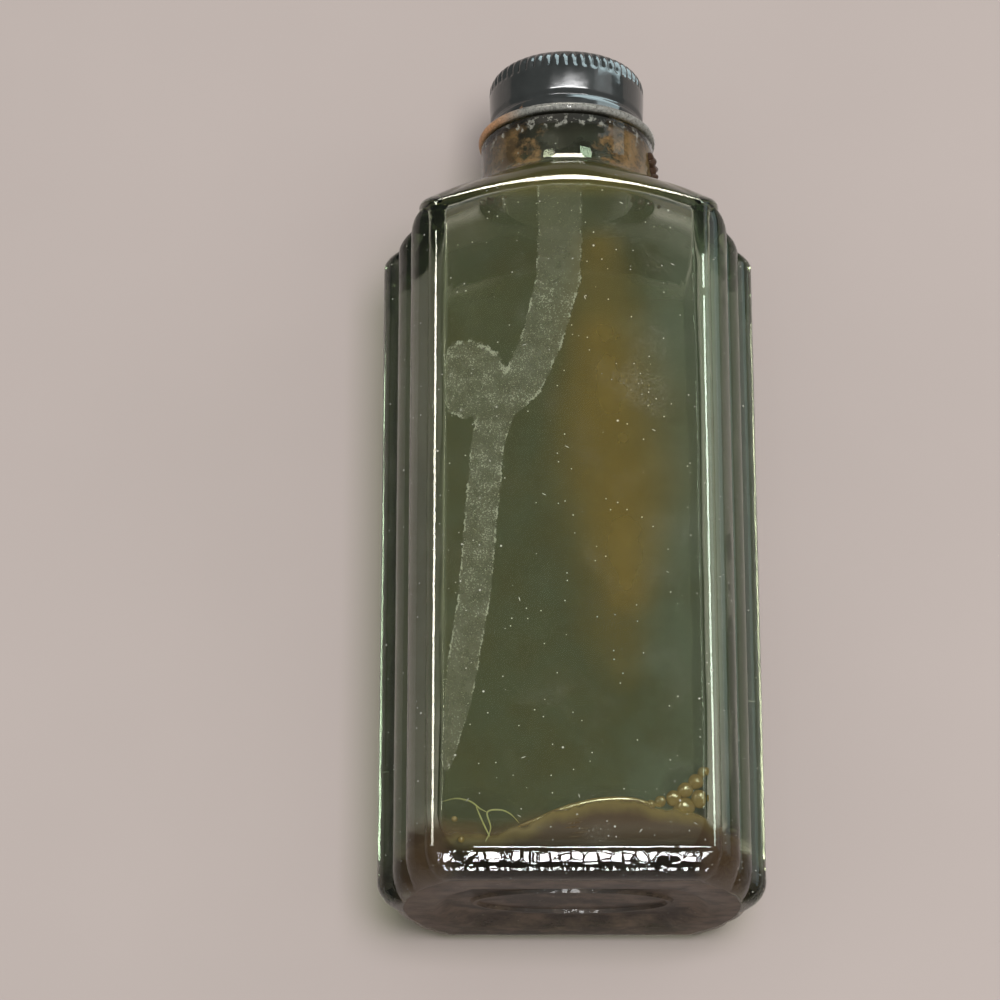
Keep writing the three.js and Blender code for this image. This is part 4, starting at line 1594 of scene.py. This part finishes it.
def light_the_bottle():
    """A broad soft fill from in front, a key from the upper right, and strips for the highlights."""
    lamp("fill", 8, -6, 1.3, 0.5, 0.5, 16.4, sees="fill")
    lamp("key", 55, 18, 1.1, 0.5, 0.5, 0.9)
    lamp("rim_strip", 2, 62, 1.0, 0.45, 0.35, 26.0, CREAM, sees="shine", only="glass")
    lamp("heel_broad", 1.4, -32, 1.0, 0.085, 0.7, 44.0, sees="shine", only="glass")
    lamp("heel_low", 1.4, -88, 1.0, 0.085, 0.45, 44.0, sees="shine", only="glass")
    lamp("heel_thin", 1.4, 6, 1.0, 0.085, 0.05, 44.0, sees="shine", only="glass")
    lamp("left_edge", -28, 18.4, 1.0, 0.3, 0.27, 24.0, CREAM, sees="glow", only="glass")
    lamp("right_edge", 28, 18.4, 1.0, 0.26, 0.27, 18.0, LEAF, sees="glow", only="glass")
    lamp("window", 74, 14, 0.9, 0.25, 0.6, 1.1, SKY, sees="shine", only="glass")
    lamp("meniscus_light", 1.5, 25, 1.0, 0.12, 0.3, 200.0, CREAM, sees="shine", only="meniscus")
    lamp("bubble_light", 10, 25, 1.0, 0.35, 0.35, 75.0, CREAM, sees="shine", only="bubbles")
    lamp("cap_blob", 3, 22.5, 1.0, 0.9, 0.045, 70.0, sees="shine", only="cap")
    lamp("cap_side", 68, 58, 1.0, 1.1, 0.8, 6.0, SKY, sees="shine", only="cap")
    lamp("cap_window", 66, 33, 1.0, 0.6, 0.12, 4.0, SKY, sees="shine", only="cap")
    lamp("back", 160, 35, 1.0, 0.6, 0.6, 7.0)


AMBIENT_FRONT = (0.34, 0.34, 0.34, 1)
AMBIENT_BACK = (0.16, 0.165, 0.17, 1)
ROOM = (0.14, 0.142, 0.145, 1)
BEHIND = (0.42, 0.42, 0.38, 1)
BACKGROUND = (0.62, 0.57, 0.54, 1)


def set_world():
    """Soft light all round, a dim room in reflections, and a plain background."""
    world = bpy.data.worlds.new("studio")
    world.use_nodes = True
    bpy.context.scene.world = world
    tree = world.node_tree
    forwards = axes(tree, node(tree, "ShaderNodeTexCoord").outputs["Generated"])["Y"]
    ambient = colours(tree, ramp(tree, forwards, 0.6, -1.0), AMBIENT_BACK, AMBIENT_FRONT)
    path = node(tree, "ShaderNodeLightPath").outputs
    surround = colours(tree, path["Is Diffuse Ray"], BEHIND, ambient)
    surround = colours(tree, path["Is Glossy Ray"], surround, ROOM)
    seen = colours(tree, path["Is Camera Ray"], surround, BACKGROUND)
    tree.links.new(seen, tree.nodes["Background"].inputs["Color"])


CAMERA_PLACE = (-11.05, -608.9, -177.0)
CAMERA_RISE = 21.883
CAMERA_LENS = 147.8


def set_camera():
    camera = bpy.data.cameras.new("photo_view")
    camera.lens = CAMERA_LENS
    camera.clip_start = 0.01
    holder = bpy.data.objects.new("photo_view", camera)
    bpy.context.scene.collection.objects.link(holder)
    holder.location = Vector(CAMERA_PLACE) * MM
    holder.rotation_euler = (math.radians(90 + CAMERA_RISE), 0, 0)
    bpy.context.scene.camera = holder


# The whole bottle

set_camera()
lay_stage()
light_the_bottle()
set_world()

GLASS = finished(moulded_glass(), "bottle", olive_glass(), "glass_bottle")
finished(paint_cake(), "bottle", dried_paint(), "paint_residue")
PALE_VARNISH = varnish("pale_varnish", SKIN_PALE, SKIN_DEEP, 0.3)
AMBER_VARNISH = varnish("amber_varnish", AMBER_PALE, AMBER_DEEP, 0.35)
BROWN_CRUST = varnish("brown_crust", LUMP_PALE, LUMP_DEEP, 0.1)
SKINS = finished(varnish_skins(), "bottle", PALE_VARNISH)
MENISCUS_EDGE = finished(varnish_meniscus(), "bottle", AMBER_VARNISH)
DROPS = finished(varnish_bubbles(), "bottle", AMBER_VARNISH)
finished(rim_crusts(), "bottle", BROWN_CRUST)
finished(neck_drips(), "bottle", BROWN_CRUST)
CAP = finished(knurled_cap(), "cap", black_enamel(), "cap_shell")
finished(pulp_liner(), "liner", pulp_board(), "cap_liner")
finished(foil_facing(), "liner", stained_foil(), "liner_facing")

for glossy in (GLASS, SKINS):
    lit_only("glass").objects.link(glossy)
lit_only("meniscus").objects.link(MENISCUS_EDGE)
lit_only("bubbles").objects.link(DROPS)
lit_only("cap").objects.link(CAP)

scene = bpy.context.scene
scene.view_settings.view_transform = "Standard"
scene.cycles.caustics_refractive = False
scene.cycles.caustics_reflective = False
scene.cycles.transmission_bounces = 16
scene.cycles.max_bounces = 18
